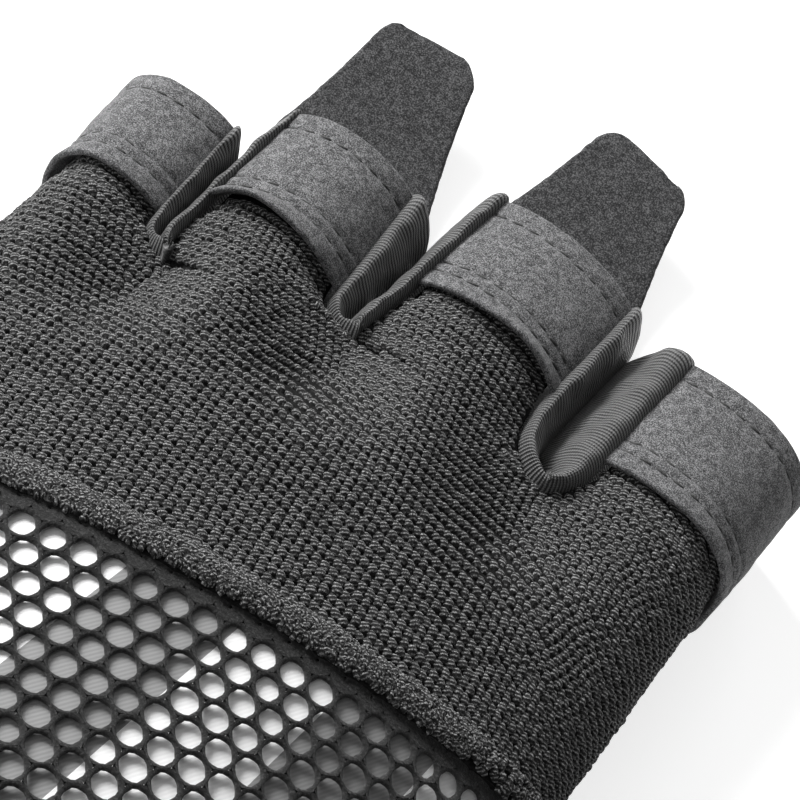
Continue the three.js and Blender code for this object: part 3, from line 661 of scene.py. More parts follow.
# %% Striped twill
STRIPE_WIDTH = 12.0
STRIPE_TURN = np.radians(-7)
STRIPE_START = 0.44
TWILL_PITCH = 0.4
striped, tree, shader = finish_of("striped cotton twill", 0.8, sheen=0.1, specular=0.25)
cloth = add(tree, "ShaderNodeUVMap", {"uv_map": "cloth"}).outputs["UV"]
turned = add(tree, "ShaderNodeMapping", {"Rotation": (0, 0, -STRIPE_TURN)}, {"Vector": cloth})
parts = add(tree, "ShaderNodeSeparateXYZ", links={"Vector": turned.outputs["Vector"]})
pair = add(tree, "ShaderNodeMath",
           {"operation": "MULTIPLY_ADD", 1: 0.5 / STRIPE_WIDTH, 2: STRIPE_START},
           {0: parts.outputs["X"]})
share = add(tree, "ShaderNodeMath", {"operation": "FRACT"}, {0: pair.outputs["Value"]})
grey = add(tree, "ShaderNodeMath", {"operation": "GREATER_THAN", 1: 0.5},
           {0: share.outputs["Value"]})
twill = waves(tree, TWILL_PITCH, turn=np.radians(30), Distortion=0.2)
white_face = colours(tree, twill, (0.0, "#f8f8f8"), (1.0, "#ffffff"))
grey_face = colours(tree, twill, (0.0, "#8c8c8c"), (1.0, "#989898"))
face = add(tree, "ShaderNodeMix", {"data_type": "RGBA"},
           {"Factor": grey.outputs["Value"], 6: white_face, 7: grey_face})
tree.links.new(face.outputs[2], shader.inputs["Base Color"])
emboss(tree, shader, twill, 0.15, 0.00005)


# %% [markdown]
# The knit over the knuckles is a row of thick ribs across the hand, each a chain of plump
# stitches. A displaced sheet fine enough for them would need a million faces, and a bump pattern
# would go flat at the edge of the hand. So a ground sheet carries some four thousand low stitch
# shapes, laid along rows worked out on the same surface. The ground is near black: painted shade
# in the gaps between the stitches.

# %% Ground of the knuckle panel
KNIT_SINK = 0.35
EDGE_TUCK = 1.0
GROUND_WALL = 0.9


def knit_tuck(i, t, y):
    """How far the knit dips where it goes under finger i's band."""
    return smooth((y - band_line(i, t, -4)) / 3) * BAND_SINK


def joined_grids(name, grids):
    """One piece from several grids of points, each rows by columns by 3."""
    faces, count = [], 0
    for points in grids:
        rows, columns = points.shape[:2]
        faces.append(grid_faces(rows, columns, first=count))
        count += rows * columns
    return mesh_piece(name, np.concatenate([points.reshape(-1, 3) for points in grids]), faces)


def strip_grid(i, rows, columns, low, high):
    """Points of finger i's strip between two heights given as functions of t."""
    t = np.linspace(-1, 1, columns)[None, :]
    v = np.linspace(0, 1, rows)[:, None]
    y = mix(low(t), high(t), v)
    t = np.broadcast_to(t, y.shape)
    return t, y, strip(i, t, y)


ground_grids = []
for i in range(4):
    columns = 44 if i in (0, 3) else 30
    lines = [lambda t: seam_line(strip_angle(i, t)) + 0.1, lambda t: web_line(i, t),
             lambda t: band_line(i, t, 4)]
    for rows, low, high in [(46, *lines[:2]), (34, *lines[1:])]:
        t, y, points = strip_grid(i, rows, columns, low, high)
        dip = KNIT_SINK + knit_tuck(i, t, y)
        points = points - normals_of(points) * dip[..., None]
        # the outer edges of the hand run on down beside the palm
        if i in (0, 3):
            points[:, 0 if i == 0 else -1, 2] -= EDGE_TUCK
        ground_grids.append(points)
ground_sheet = joined_grids("knuckle_ground", ground_grids)
ground_sheet.data.materials.append(ground)


def join_doubles(obj, distance=0.05):
    """Merge points closer than a distance in millimetres."""
    work = bmesh.new()
    work.from_mesh(obj.data)
    bmesh.ops.remove_doubles(work, verts=work.verts, dist=distance / 1000)
    work.to_mesh(obj.data)
    work.free()


join_doubles(ground_sheet)
wall = ground_sheet.modifiers.new("wall", "SOLIDIFY")
wall.thickness = GROUND_WALL / 1000
wall.offset = -1

# %% [markdown]
# The rows of the knit are not straight. The cloth is pulled up at the webs and sags over the
# fingers between them, and its rows lie closer at the seam than over the knuckles. One smooth
# lift says how far a row stands above its own straight line: a round hill at each web and a
# long slope down the index finger's side. It is a function of place, not of the finger, so the
# rows run on unbroken from strip to strip.

# %% Rows of stitches
ROW_PITCH = 1.29
ROW_SPREAD = 0.0081
STITCH_PITCH = 1.13
ROW_SHIFT = 0.8
HILL_WIDTH = 7.7
HILL_LENGTH = 10.4
HILLS = [(-31.5, -7.8, 3.2), (-9.2, -0.1, 5.6), (18.4, -0.7, 3.9)]
SIDE_FROM, SIDE_SLOPE = 29.0, 0.45


def row_lift(x, y):
    """How far a row is lifted: a bell exp(-a^2 - b^2) at each web, less the slope of the index
    side, which sets in softly as 3 ln(1 + exp((x - SIDE_FROM) / 3))."""
    lift = -SIDE_SLOPE * 3 * np.log1p(np.exp((x - SIDE_FROM) / 3))
    for at_x, at_y, height in HILLS:
        lift = lift + height * np.exp(-(((x - at_x) / HILL_WIDTH) ** 2)
                                      - ((y - at_y) / HILL_LENGTH) ** 2)
    return lift


def row_place(number):
    """The straight height of a row: the pitch grows evenly with the height, so the heights are
    an exponential of the row's number."""
    return (ROW_PITCH * (np.exp(ROW_SPREAD * number) - 1)) / ROW_SPREAD - 15


ROW_NUMBERS = np.arange(-46, 44)
ACROSS = np.linspace(-1, 1, 181)
row_t = np.tile(np.tile(ACROSS, 4), (len(ROW_NUMBERS), 1))
row_finger = np.repeat(np.arange(4), len(ACROSS))
row_y = np.repeat(row_place(ROW_NUMBERS)[:, None], row_t.shape[1], axis=1)
straight = row_y.copy()
row_points = np.zeros(row_y.shape + (3,))
for _ in range(24):
    for i in range(4):
        mine = row_finger == i
        row_points[:, mine] = strip(i, row_t[:, mine], row_y[:, mine])
    row_y = straight + row_lift(row_points[..., 0], row_y)
travel = along_paths(row_points, axis=1)
crown = 2 * len(ACROSS) + len(ACROSS) // 2
travel = travel - travel[:, [crown]]
shift = (ROW_SHIFT * ROW_NUMBERS[:, None]) % 1
wanted = (np.arange(-90, 91)[None, :] + shift) * STITCH_PITCH
order = np.arange(row_t.shape[1])
found = np.stack([np.interp(w, s, order, left=np.nan, right=np.nan)
                  for w, s in zip(wanted, travel)])
print("rows", len(ROW_NUMBERS), "places", int(np.isfinite(found).sum()))

HEM_WIDTH = 3.4
BAND_LAP = 2.4
stitch_places = []
for i in range(4):
    row, column = np.nonzero((found > i * len(ACROSS)) & (found < (i + 1) * len(ACROSS) - 1))
    at = found[row, column]
    low = np.floor(at).astype(int)
    part = at - low
    t = mix(row_t[row, low], row_t[row, low + 1], part)
    y = mix(row_y[row, low], row_y[row, low + 1], part)
    seam_gap = y - seam_line(strip_angle(i, t))
    band_gap = band_line(i, t, BAND_LAP) - y
    keep = (seam_gap > HEM_WIDTH - 0.3) & (band_gap > 0)
    for side in (-1, 1):
        w = web_beside(i, side)
        if w is not None:
            keep &= (t * side < 0.955) | (y < w[1] - 0.3)
    t, y, row, low = t[keep], y[keep], row[keep], low[keep]
    here = strip(i, t, y)
    run = unit(row_points[row, low + 1] - row_points[row, low])
    normal = strip_ways(i, t, y)[1]
    stitch_places.append((here - normal * knit_tuck(i, t, y)[:, None], run, normal))
here, run, normal = [np.concatenate(part) for part in zip(*stitch_places)]
print("stitches", len(here))

# %% [markdown]
# One stitch is a low bean: a few rings around a crown, longer along its row, turned a little
# against it and never quite like its neighbour, so that a row reads as one plump twisted rib.
# All are made at once: the shape times a frame of directions for every place. The map of a
# stitch is in millimetres, from a chance starting point, and the yarn's twist is drawn on it.

# %% Stitches
def bean(sides):
    """Rings of a low dome: (share of radius, height), a top point and the corner numbers."""
    rings = [(1.0, -0.5), (0.92, 0.4), (0.5, 0.88)]
    angle = 2 * np.pi * np.arange(sides) / sides
    points = [[r * np.cos(a), r * np.sin(a), h] for r, h in rings for a in angle]
    points.append([0, 0, 1.0])
    quads = grid_faces(len(rings), sides, wrap_columns=True)
    top = (len(rings) - 1) * sides
    cap = np.stack([top + np.arange(sides), top + (np.arange(sides) + 1) % sides,
                    np.full(sides, len(rings) * sides)], -1)
    return np.array(points), quads, cap


def scatter_shapes(name, shape, quads, caps, places, x_way, normal_way, size, turn):
    """Copies of one shape, each in its own place, directions and size, in one mesh."""
    y_way = unit(np.cross(normal_way, x_way))
    c, s = np.cos(turn)[:, None], np.sin(turn)[:, None]
    x_way, y_way = x_way * c + y_way * s, y_way * c - x_way * s
    points = (places[:, None, :]
              + shape[None, :, 0, None] * (x_way * size[:, [0]])[:, None, :]
              + shape[None, :, 1, None] * (y_way * size[:, [1]])[:, None, :]
              + shape[None, :, 2, None] * (normal_way * size[:, [2]])[:, None, :])
    first = (np.arange(len(places)) * len(shape))[:, None, None]
    faces = [(quads[None] + first).reshape(-1, 4), (caps[None] + first).reshape(-1, 3)]
    start = np.random.default_rng(3).uniform(0, 40, (len(places), 1, 2))
    uv = shape[None, :, :2] * size[:, None, :2] + start
    return mesh_piece(name, points, faces, uv)


STITCH_TURN = np.radians(-24)
STITCH_SUNK = 0.28
STITCH_SIZE = np.array([0.80, 0.60, 0.42])
STITCH_SPREAD = np.array([0.06, 0.04, 0.07])
shape, quads, caps = bean(8)
chance = random.normal(size=(len(here), 5))
size = STITCH_SIZE + STITCH_SPREAD * chance[:, :3]
jitter = chance[:, [3]] * run * 0.05 + chance[:, [4]] * np.cross(normal, run) * 0.05
turn = STITCH_TURN + 0.12 * random.normal(size=len(here))
places = here + jitter - normal * STITCH_SUNK
stitches = scatter_shapes("knuckle_stitches", shape, quads, caps, places, run, normal, size, turn)
stitches.data.materials.append(yarn)
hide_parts("knuckle_panel")

# %% [markdown]
# Along the slanted seam the knit is folded under and its loops stand up as a soft uneven ridge,
# with a dark groove beside the net whose floor is the near-black ground, painted shade. The ridge
# is strewn with beans that lean much the same way, at chance distances, on a half-round height.

# %% Hem along the seam
PILE = 3400
HEM_RISE = 0.75
HEM_FOOT = 0.35
LOOP_SUNK = 0.25
LOOP_SIZE = np.array([0.64, 0.38, 0.40])
LOOP_SPREAD = np.array([0.08, 0.05, 0.07])
hem_i = random.integers(0, 4, PILE)
hem_t = random.uniform(-1, 1, PILE)
across_hem = random.uniform(0.0, 1.0, PILE)
pile_places = []
for i in range(4):
    mine = hem_i == i
    t, share = hem_t[mine], across_hem[mine]
    angle = strip_angle(i, t)
    y = seam_line(angle) + HEM_FOOT + share * (HEM_WIDTH - 0.1)
    fade = 1 - smooth((np.abs(angle) - 1.2) / 0.4)
    there = strip(i, t, y)
    beside, out = strip_ways(i, t, y)
    rise = HEM_RISE * np.sqrt(np.maximum(0.02, 1 - (2 * share - 0.9) ** 2)) * fade
    pile_places.append((there + out * (rise - LOOP_SUNK)[:, None], beside, out))
spots, beside, out = [np.concatenate(part) for part in zip(*pile_places)]
shape, quads, caps = bean(6)
chance = random.normal(size=(len(spots), 3))
size = LOOP_SIZE + LOOP_SPREAD * chance
pile = scatter_shapes("seam_hem_loops", shape, quads, caps, spots, beside, out, size,
                      random.normal(-0.5, 0.6, len(spots)))
pile.data.materials.append(yarn)


# %% [markdown]
# The finger bands are cut from flat suede, wrapped over the finger and sewn down with one row of
# stitches at the fingertip side and two at the knuckle side. There the edge was left free: it
# lifts off the knit on one side of each finger, which draws the dark line under it. Each band is
# a fine grid on the strip's surface with that lift, a groove along each seam and a rounded rim.

# %% Suede finger bands
# For each finger: where the free edge lifts (t), how widely and how high in millimetres
PEELS = [(-0.35, 0.30, 0.45), (-0.50, 0.50, 1.5), (0.40, 0.55, 1.2), (0.20, 0.25, 0.45)]
EDGE_WALL = 0.8
GROOVE_HALF = 0.45
GROOVE_SINK = 0.22
SEAM_ROWS = (3.0, 4.9, -3.3)
NAMES = ("little", "ring", "middle", "index")


def seam_positions(i, t):
    """Heights of finger i's seams: two from the band's start and one back from its end."""
    start, end = band_line(i, t), tip_line(i, t)
    return [start + d if d > 0 else end + d for d in SEAM_ROWS]


def band_rise(i, t, y):
    """Height of the band's face over the strip: proud, lifted at its free edge by a bell in t,
    and drawn in by a bell exp(-d^2) at each seam."""
    middle, width, height = PEELS[i]
    from_start = y - band_line(i, t)
    peel = height * np.exp(-(((t - middle) / width) ** 2)) * (1 - smooth(from_start / 3.2))
    groove = sum(np.exp(-(((y - seam) / GROOVE_HALF) ** 2)) for seam in seam_positions(i, t))
    return BAND_PROUD + peel - GROOVE_SINK * groove


def finger_band(i):
    """One band as a closed sheet 1.2 mm thick, pared to EDGE_WALL at its free edge."""
    rows = 84
    columns = 120 if i in (0, 3) else 76
    inset = 0.35
    t, y, points = strip_grid(i, rows, columns, lambda t: band_line(i, t, inset),
                              lambda t: tip_line(i, t) - inset)
    rise = band_rise(i, t, y) + 0.12 * ripples(points, 9, seed=i + 3)
    wall = mix(EDGE_WALL, BAND_WALL, smooth((y - band_line(i, t, inset)) / 2.2))
    return thick_sheet(NAMES[i] + "_suede_band", points, rise, wall - rise, rim_steps=5)


for i in range(4):
    band = finger_band(i)
    band.data.materials.append(band_suede)
    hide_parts(NAMES[i] + "_band")

# %% Sewing thread on the bands
THREAD_PITCH = 2.3
thread_parts = []
for i in range(4):
    t = np.linspace(-0.98, 0.98, 400)
    for seam in seam_positions(i, t):
        line = strip(i, t, seam)
        ahead = unit(strip(i, t, seam + 0.2) - strip(i, t, seam - 0.2))
        run_way = unit(np.gradient(line, axis=0))
        out = unit(np.cross(run_way, ahead))
        travel = along_paths(line)
        at = np.arange(1.2, travel[-1] - 1, THREAD_PITCH)
        pick = np.searchsorted(travel, at)
        rise = band_rise(i, t, seam)[pick, None]
        thread_parts.append((line[pick] + out[pick] * (rise - 0.02), run_way[pick], out[pick]))
spots, run_way, out = [np.concatenate(part) for part in zip(*thread_parts)]
shape, quads, caps = bean(8)
size = np.tile([0.85, 0.2, 0.2], (len(spots), 1))
threads = scatter_shapes("band_threads", shape, quads, caps, spots, run_way, out, size,
                         0.1 * random.normal(size=len(spots)))
threads.data.materials.append(thread)

# %% [markdown]
# Between two fingers a fourchette of stretch cloth runs down one finger, round the web and up
# the next. It is fuller than the seam it is sewn to, so it bulges in a soft roll beside each
# band, and the two rolls press together in a deep crease. The surface goes from each point of
# the U-shaped seam over the roll to the crease, where the points at the bottom of the web all
# meet, and from the crease down to the palm.

# %% Stretch fourchettes
EDGE_DROP = KNIT_WALL + BAND_SINK + 1.5 * CLEARANCE
# For each gusset: the share of the gap that the left roll takes
CREASES = (0.52, 0.62, 0.36)
CREASE_DEPTH = 6.0
GROOVE_DEPTH = 0.9
ROLL_RISE = 1.3
LOBE = 2.2
LEAST_REACH = 1.6
GUSSET_WALL = 0.6
GUSSET_STATIONS = 300
GUSSET_BULGE = 1.5


def edge_frame(i, side, y):
    """A point on the edge of finger i's strip and the direction square to the strip there."""
    t = np.full_like(y, side)
    here = strip(i, t, y)
    inward = strip(i, t * 0.98, y) - here
    ahead = strip(i, t, y + 0.3) - strip(i, t, y - 0.3)
    return here, unit(np.cross(inward, ahead) * -side)


def gusset_path(k, s):
    """Edge points of gusset k for s from 0 to 1, with the feet on the palm below them: down
    finger k's side, round the web, and up finger k + 1's side."""
    run = np.abs(2 * s - 1)
    w = web(k)
    parts = []
    for i, side, here in [(k, 1, s < 0.5), (k + 1, -1, s >= 0.5)]:
        end = tip_line(i, side)
        y = w[1] + (end - w[1]) * (1 - np.cos(run * np.pi / 2))
        top, normal = edge_frame(i, side, y)
        dropped = top - normal * EDGE_DROP
        low = w[1] + PALM_WEB_STEP + (y - w[1]) * (end - w[1] - PALM_WEB_STEP) / (end - w[1])
        foot = np.stack([dropped[:, 0], low, np.full_like(low, PALM_WALL + CLEARANCE)], -1)
        parts.append((here, top, foot))
    (here, top, foot), (_, other_top, other_foot) = parts
    here = here[:, None]
    return np.where(here, top, other_top), np.where(here, foot, other_foot)


def gusset(k, name):
    """The two rolls and the wall of one fourchette, as a closed cloth. With q from 0 at the seam
    to 1 at the crease, the height is straight from the groove to the crease plus
    rise * sin(pi q^0.85)^0.8, which is steep at the seam and round over the roll."""
    s = np.linspace(0, 1, GUSSET_STATIONS)
    # more stations where the path turns round the web
    s = 0.5 + 0.5 * np.sign(s - 0.5) * np.abs(2 * s - 1) ** 1.25
    seam, foot = gusset_path(k, s)
    for _ in range(8):
        seam[1:-1] = (seam[:-2] + 2 * seam[1:-1] + seam[2:]) / 4
    left_side = s < 0.5
    travel = along_paths(seam)
    to_end = np.minimum(travel, travel[-1] - travel)
    # the crease starts a little above the web and keeps its share of the gap from there on
    bottom = web(k)[1]
    crease_y = np.maximum(seam[:, 1] + 0.3 * to_end / (1 + to_end), bottom + 2.6)
    half = GUSSET_STATIONS // 2
    left_x = np.interp(crease_y, seam[half - 1::-1, 1], seam[half - 1::-1, 0])
    right_x = np.interp(crease_y, seam[half:, 1], seam[half:, 0])
    share = mix(0.5, CREASES[k], smooth((crease_y - bottom - 1) / 8))
    crease_x = mix(left_x, right_x, share) + np.where(left_side, 0.15, -0.15)
    crease = np.stack([crease_x, crease_y, 0 * crease_x], -1)
    inward = unit((crease - seam) * np.array([1, 1, 0]))
    reach = np.maximum(np.linalg.norm((crease - seam)[:, :2], axis=-1), LEAST_REACH)
    round_end = np.sqrt(np.maximum(0.0, 1 - (1 - clamp(to_end / LOBE)) ** 2))
    depth = np.minimum(CREASE_DEPTH, 0.9 + 1.5 * reach)
    theta = np.linspace(0, np.pi, 27)[:, None]
    q = (1 - np.cos(theta)) / 2
    grow = 0.25 + 0.75 * round_end[None, :]
    flat = mix(seam[None, :, :2], crease[None, :, :2], (q * grow)[..., None])
    ground_z = seam[None, :, 2] - mix(GROOVE_DEPTH, depth[None, :], q)
    crest = ROLL_RISE * clamp(reach / 2.5) + (GROOVE_DEPTH + depth) / 2
    hump = np.sin(np.pi * q ** 0.85) ** 0.8 * crest[None, :] * grow
    roll = np.concatenate([flat, (ground_z + hump)[..., None]], axis=-1)
    wander = ripples(roll, 6, seed=20 + k, octaves=2) * np.sin(np.pi * q)
    roll = roll + wander[..., None] * (0.22 * np.array([0, 0, 1.0]) + 0.22 * inward[None])
    # the ends bulge out past the band
    way = unit(np.gradient(seam, axis=0))
    outwards = np.where(left_side[:, None], -way, way)
    push = GUSSET_BULGE * np.exp(-((to_end / 2.5) ** 2))
    roll = roll + (outwards * push[:, None])[None] * np.sin(theta)[..., None] ** 0.7
    below = np.linspace(0, 1, 12)[1:, None, None]
    fall = mix(roll[-1][None], foot[None], below)
    fall = fall - inward[None] * 0.8 * np.sin(np.pi * below)
    points = np.concatenate([roll, fall])
    across = along_paths(points, axis=0)
    uv = np.stack([np.broadcast_to(travel, across.shape), across], -1)
    piece = thick_sheet(name, points, 0.0, GUSSET_WALL, uv)
    piece.data.materials.append(stretch)
    return piece


for k, node in enumerate(["gusset_little_ring", "gusset_ring_middle", "gusset_middle_index"]):
    piece = gusset(k, node.replace("gusset", "fourchette"))
    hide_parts(node)


# %% [markdown]
# The palm is one thick piece of darker suede with a tongue under each finger. It is flat where
# the glove lies on it and turns up at both sides to meet the back. Only its rim and the two pull
# tabs show from above, but it carries everything else.

# %% Palm
def palm_side(side, y):
    """The palm's outer edge under a side of the hand, and the slope that it comes up with."""
    i = 0 if side < 0 else 3
    t = np.full_like(y, side)
    edge = strip(i, t, y)
    way = unit(edge - strip(i, t * 0.98, y))
    return edge + way * SIDE_SEAM, np.abs(way[..., 2] / way[..., 0])


def palm_point(left, right, u, y, sides):
    """Flat on the table, and near each side the parabola that ends at the rim in its slope."""
    x = mix(left, right, u)
    z = palm_lift(y)
    for side in sides:
        rim, slope = palm_side(side, y)
        rise = np.maximum(0.05, rim[..., 2] - palm_lift(y))
        in_from = (x - rim[..., 0]) * -side
        z = z + rise * np.maximum(0, 1 - in_from * slope / (2 * rise)) ** 2
    return np.stack(np.broadcast_arrays(x, y, z), -1)


def along_hand(x, y):
    """A place across the knuckles followed down the hand as it narrows."""
    centre, half = hand_value("centre", y), hand_value("half", y)
    return (centre + (x / HAND_WIDTH - hand_value("centre", 0)) * half
            / hand_value("half", 0)) * HAND_WIDTH


WRIST_LINE = -90.0
TAB_SEAM = 4.0
PALM_SHOWN = 1.5


def tongue_end(i, t):
    """Where the palm's tongue under finger i ends; a pull tab takes the last millimetres."""
    return tip_line(i, t) - (TAB_SEAM if i in (1, 2) else 0)


def palm_grid(i, part, rows, columns):
    """Finger i's share of the palm below the webs (part 0) or its tongue (part 1)."""
    u = np.linspace(0, 1, columns)[None, :]
    spread = u ** 1.5 if i == 0 else 1 - (1 - u) ** 1.5 if i == 3 else u
    v = np.linspace(0, 1, rows)[:, None]
    sides = [-1] if i == 0 else [1] if i == 3 else []
    if part == 0:
        y = mix(WRIST_LINE, web_line(i, 2 * u - 1) + PALM_WEB_STEP, v)
        edges = []
        for side in (-1, 1):
            w = web_beside(i, side)
            edges.append(along_hand(w[0], np.minimum(0, y)) if w else palm_side(side, y)[0][..., 0])
        return palm_point(edges[0], edges[1], spread, y, sides)
    feet = []
    for side in (-1, 1):
        base = web_line(i, side) + PALM_WEB_STEP
        w = web_beside(i, side)
        if w is None:
            y = mix(base, tongue_end(i, side), 1 - np.cos(v[:, 0] * np.pi / 2))
            feet.append((palm_side(side, y)[0][..., 0], y))
            continue
        run = v[:, 0]
        s = 0.5 - run / 2 if side > 0 else 0.5 + run / 2 + 1e-9
        foot = gusset_path(i if side > 0 else i - 1, s)[1]
        keep = (tongue_end(i, side) - base) / (tip_line(i, side) - base)
        feet.append((mix(w[0], foot[:, 0], np.minimum(1, run * 6)),
                     mix(base, foot[:, 1], keep)))
    y = mix(feet[0][1][:, None], feet[1][1][:, None], u)
    return palm_point(feet[0][0][:, None], feet[1][0][:, None], spread, y, sides)


palm = joined_grids("palm_suede", [palm_grid(i, part, rows, 40 if i in (0, 3) else 26)
                                   for i in range(4) for part, rows in [(0, 90), (1, 40)]])
palm.data.materials.append(palm_suede)
join_doubles(palm, 0.02)
wall = palm.modifiers.new("wall", "SOLIDIFY")
wall.thickness = PALM_SHOWN / 1000
wall.offset = 1
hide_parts("palm_panel")

# %% [markdown]
# A pull tab is sewn to the end of the ring and middle tongues. The suede is thick and sawn
# rather than trimmed, so its rim is rough: the outline wavers by a twentieth of a millimetre.

# %% Pull tabs
TAB_LENGTH = 34.0
TAB_RISE = 8.0
TAB_CORNER = 3.0
TAB_FLARE = 11.0
TAB_TAPER = 1.3


def pull_tab(i):
    """Finger i's tab: as narrow as the palm under the finger, flaring to a paddle that narrows
    and rises towards its round-cornered tip."""
    f = FINGERS[i]
    left = gusset_path(i - 1, np.array([1.0]))[1][0, 0]
    right = gusset_path(i, np.array([0.0]))[1][0, 0]
    length = TAB_LENGTH + TAB_SEAM - CLEARANCE
    t = np.linspace(-1, 1, 61)[None, :]
    run = 1 - (1 - np.linspace(0, 1, 91)[:, None]) ** 1.2
    d = run * length
    to_tip = length - d
    corner = np.where(to_tip < TAB_CORNER, TAB_CORNER - np.sqrt(np.maximum(
        0, TAB_CORNER ** 2 - (TAB_CORNER - to_tip) ** 2)), 0)
    paddle = mix(f["tab_tip"], f["tab_root"], (1 - run) ** TAB_TAPER) * HAND_WIDTH
    flare = smooth((d - TAB_SEAM - 2 * CLEARANCE) / TAB_FLARE)
    half = mix((right - left) / 2, paddle, flare) - corner
    x = (left + right) / 2 + t * half + f["tab_lean"] * d
    y = tongue_end(i, t) + CLEARANCE + d
    z = TAB_RISE * smooth(d / length) * clamp(d / length) + 0 * t
    points = np.stack([x, y + 0 * x, z + 0 * x], -1)
    edge = np.abs(t) ** 12
    points[..., 0] += 0.05 * edge * ripples(points, 1.7, seed=i, octaves=2) * np.sign(t)
    points[..., 1] += 0.06 * clamp((run - 0.5) * 2) * ripples(points, 3.2, seed=i + 5, octaves=1)
    bumps = 0.1 * ripples(points, 7, seed=i + 9) + 0.03 * ripples(points, 0.9, seed=i + 11)
    tab = thick_sheet(NAMES[i] + "_suede_tab", points, PALM_WALL - 0.1 + bumps, 0.0,
                      rim_steps=5, swell=0.5)
    return tab


for i in (1, 2):
    tab = pull_tab(i)
    tab.data.materials.append(palm_suede)
    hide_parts(NAMES[i] + "_pull_tab")


# %% [markdown]
# Behind the knit the back is open: a soft net lying close over a striped lining. The net is
# knitted in a triangle lattice, 3.4 mm from hole to hole, with its rows along the slanted seam.
# Cutting holes in a plate would leave square walls, so each lattice cell
# is made as a ring of yarn with a round section, and the rings share their outer edges.

# %% Distances round the back
ARC_Y = np.linspace(-116, -20, 97)
ARC_ANGLES = np.linspace(-HAND_WRAP - 0.2, HAND_WRAP + 0.2, 721)
arc_travel = along_paths(arch(ARC_ANGLES[None, :], ARC_Y[:, None]), axis=1)
arc_travel = arc_travel - arc_travel[:, [360]]
ARC_STEPS = np.linspace(-80, 80, 641)
ARC_TABLE = np.stack([np.interp(ARC_STEPS, line, ARC_ANGLES) for line in arc_travel])


def angle_at(distance, y):
    """The hand angle at a distance round the back from the crown, read from the table above
    between its four nearest entries."""
    row = np.clip((y - ARC_Y[0]) / (ARC_Y[1] - ARC_Y[0]), 0, len(ARC_Y) - 1.001)
    column = np.clip((distance - ARC_STEPS[0]) / (ARC_STEPS[1] - ARC_STEPS[0]), 0,
                     len(ARC_STEPS) - 1.001)
    r, c = row.astype(int), column.astype(int)
    fr, fc = row - r, column - c
    near = mix(ARC_TABLE[r, c], ARC_TABLE[r, c + 1], fc)
    far = mix(ARC_TABLE[r + 1, c], ARC_TABLE[r + 1, c + 1], fc)
    return mix(near, far, fr)


# %% The thumb's place
THUMB_WIDTH = 25.0
THUMB_HEIGHT = 21.0
THUMB_LENGTH = 36.0
THUMB_BAND = 16.0
THUMB_WALL = 1.4
THUMB_SETBACK = 48.0
THUMB_INSET = 14.0
THUMB_TAPER = 0.9
THUMB_ANGLE = np.radians(42)
thumb_axis = np.array([np.cos(THUMB_ANGLE), np.sin(THUMB_ANGLE), 0.0])
thumb_across = np.array([-np.sin(THUMB_ANGLE), np.cos(THUMB_ANGLE), 0.0])
thumb_root = arch(np.pi / 2, -THUMB_SETBACK)
thumb_root[2] = THUMB_HEIGHT / 2 + CLEARANCE + THUMB_WALL


def thumb_clear(points):
    """How far points are outside the thumb's tube."""
    d = points - thumb_root
    beside = np.hypot(d @ thumb_across, d[..., 2])
    return beside - THUMB_WIDTH / 2 + np.maximum(0, -(d @ thumb_axis) - THUMB_INSET) * 2


# %% Open net
NET_PITCH = 3.38
NET_HOLE = 1.36
NET_THICK = 0.34
NET_LEVEL = 0.75
NET_PHASE = 1.1
NET_LAP = 0.4
NET_SAG = 0.2
NET_UNDER_THUMB = 1.2
turn = np.arctan(SEAM_SLOPE)
row_number, column_number = np.meshgrid(np.arange(-1, 36), np.arange(-36, 37), indexing="ij")
along = (column_number + row_number / 2) * NET_PITCH
back = -row_number * NET_PITCH * np.sqrt(3) / 2 - NET_PHASE
centre_d = (along * np.cos(turn) - back * np.sin(turn)).ravel()
centre_y = (along * np.sin(turn) + back * np.cos(turn) - SEAM_SETBACK).ravel()
angle = angle_at(centre_d, centre_y)
keep = (centre_y < seam_line(angle) + 2.2) & (centre_y > WRIST_LINE - 1)
keep &= np.abs(angle) < HAND_WRAP - 0.03
keep &= thumb_clear(arch(angle, centre_y)) > -NET_UNDER_THUMB
centre_d, centre_y = centre_d[keep], centre_y[keep]
print("net cells", len(centre_d))

# one ring of a cell: share 0 is the middle of the bar and 1 the rim of the hole
STEPS = 18
theta = 2 * np.pi * np.arange(STEPS) / STEPS
share = np.array([0, 0.45, 0.8, 1.0, 0.8, 0.45, 0])
level_of = NET_THICK * np.array([1, 0.89, 0.6, 0, -0.6, -0.89, -1])
to_flat = (theta - turn + np.pi / 6) % (np.pi / 3) - np.pi / 6
edge_radius = NET_PITCH / 2 / np.cos(to_flat)
hole_size = NET_HOLE * (1 + 0.05 * random.normal(size=(len(centre_d), 1, 1)))
# the holes close where the net is sewn down beside the seam
from_seam = seam_line(angle[keep]) - centre_y
hole_size = hole_size * np.maximum(0.04, clamp((from_seam - 0.1) / 0.5))[:, None, None]
hole_radius = hole_size * (1 + 0.05 * np.cos(6 * to_flat))[None, None, :]
radius = mix(edge_radius[None, None, :], hole_radius, share[None, :, None])
cell_d = centre_d[:, None, None] + radius * np.cos(theta)
cell_y = centre_y[:, None, None] + radius * np.sin(theta)
cell_angle = np.clip(angle_at(cell_d, cell_y), -HAND_WRAP, HAND_WRAP)
cell_y = np.clip(cell_y, WRIST_LINE, seam_line(cell_angle) + NET_LAP)
surface = arch(cell_angle, cell_y)
beside = arch(cell_angle + 0.01, cell_y) - arch(cell_angle - 0.01, cell_y)
ahead = arch(cell_angle, cell_y + 0.3) - arch(cell_angle, cell_y - 0.3)
out = unit(np.cross(beside, ahead))
sag = NET_SAG * ripples(surface, 22, seed=31)
points = surface + out * (level_of[None, :, None] - NET_LEVEL + sag)[..., None]
cell_faces = grid_faces(len(share), STEPS, wrap_columns=True)[:, ::-1]
first = (np.arange(len(centre_d)) * len(share) * STEPS)[:, None, None]
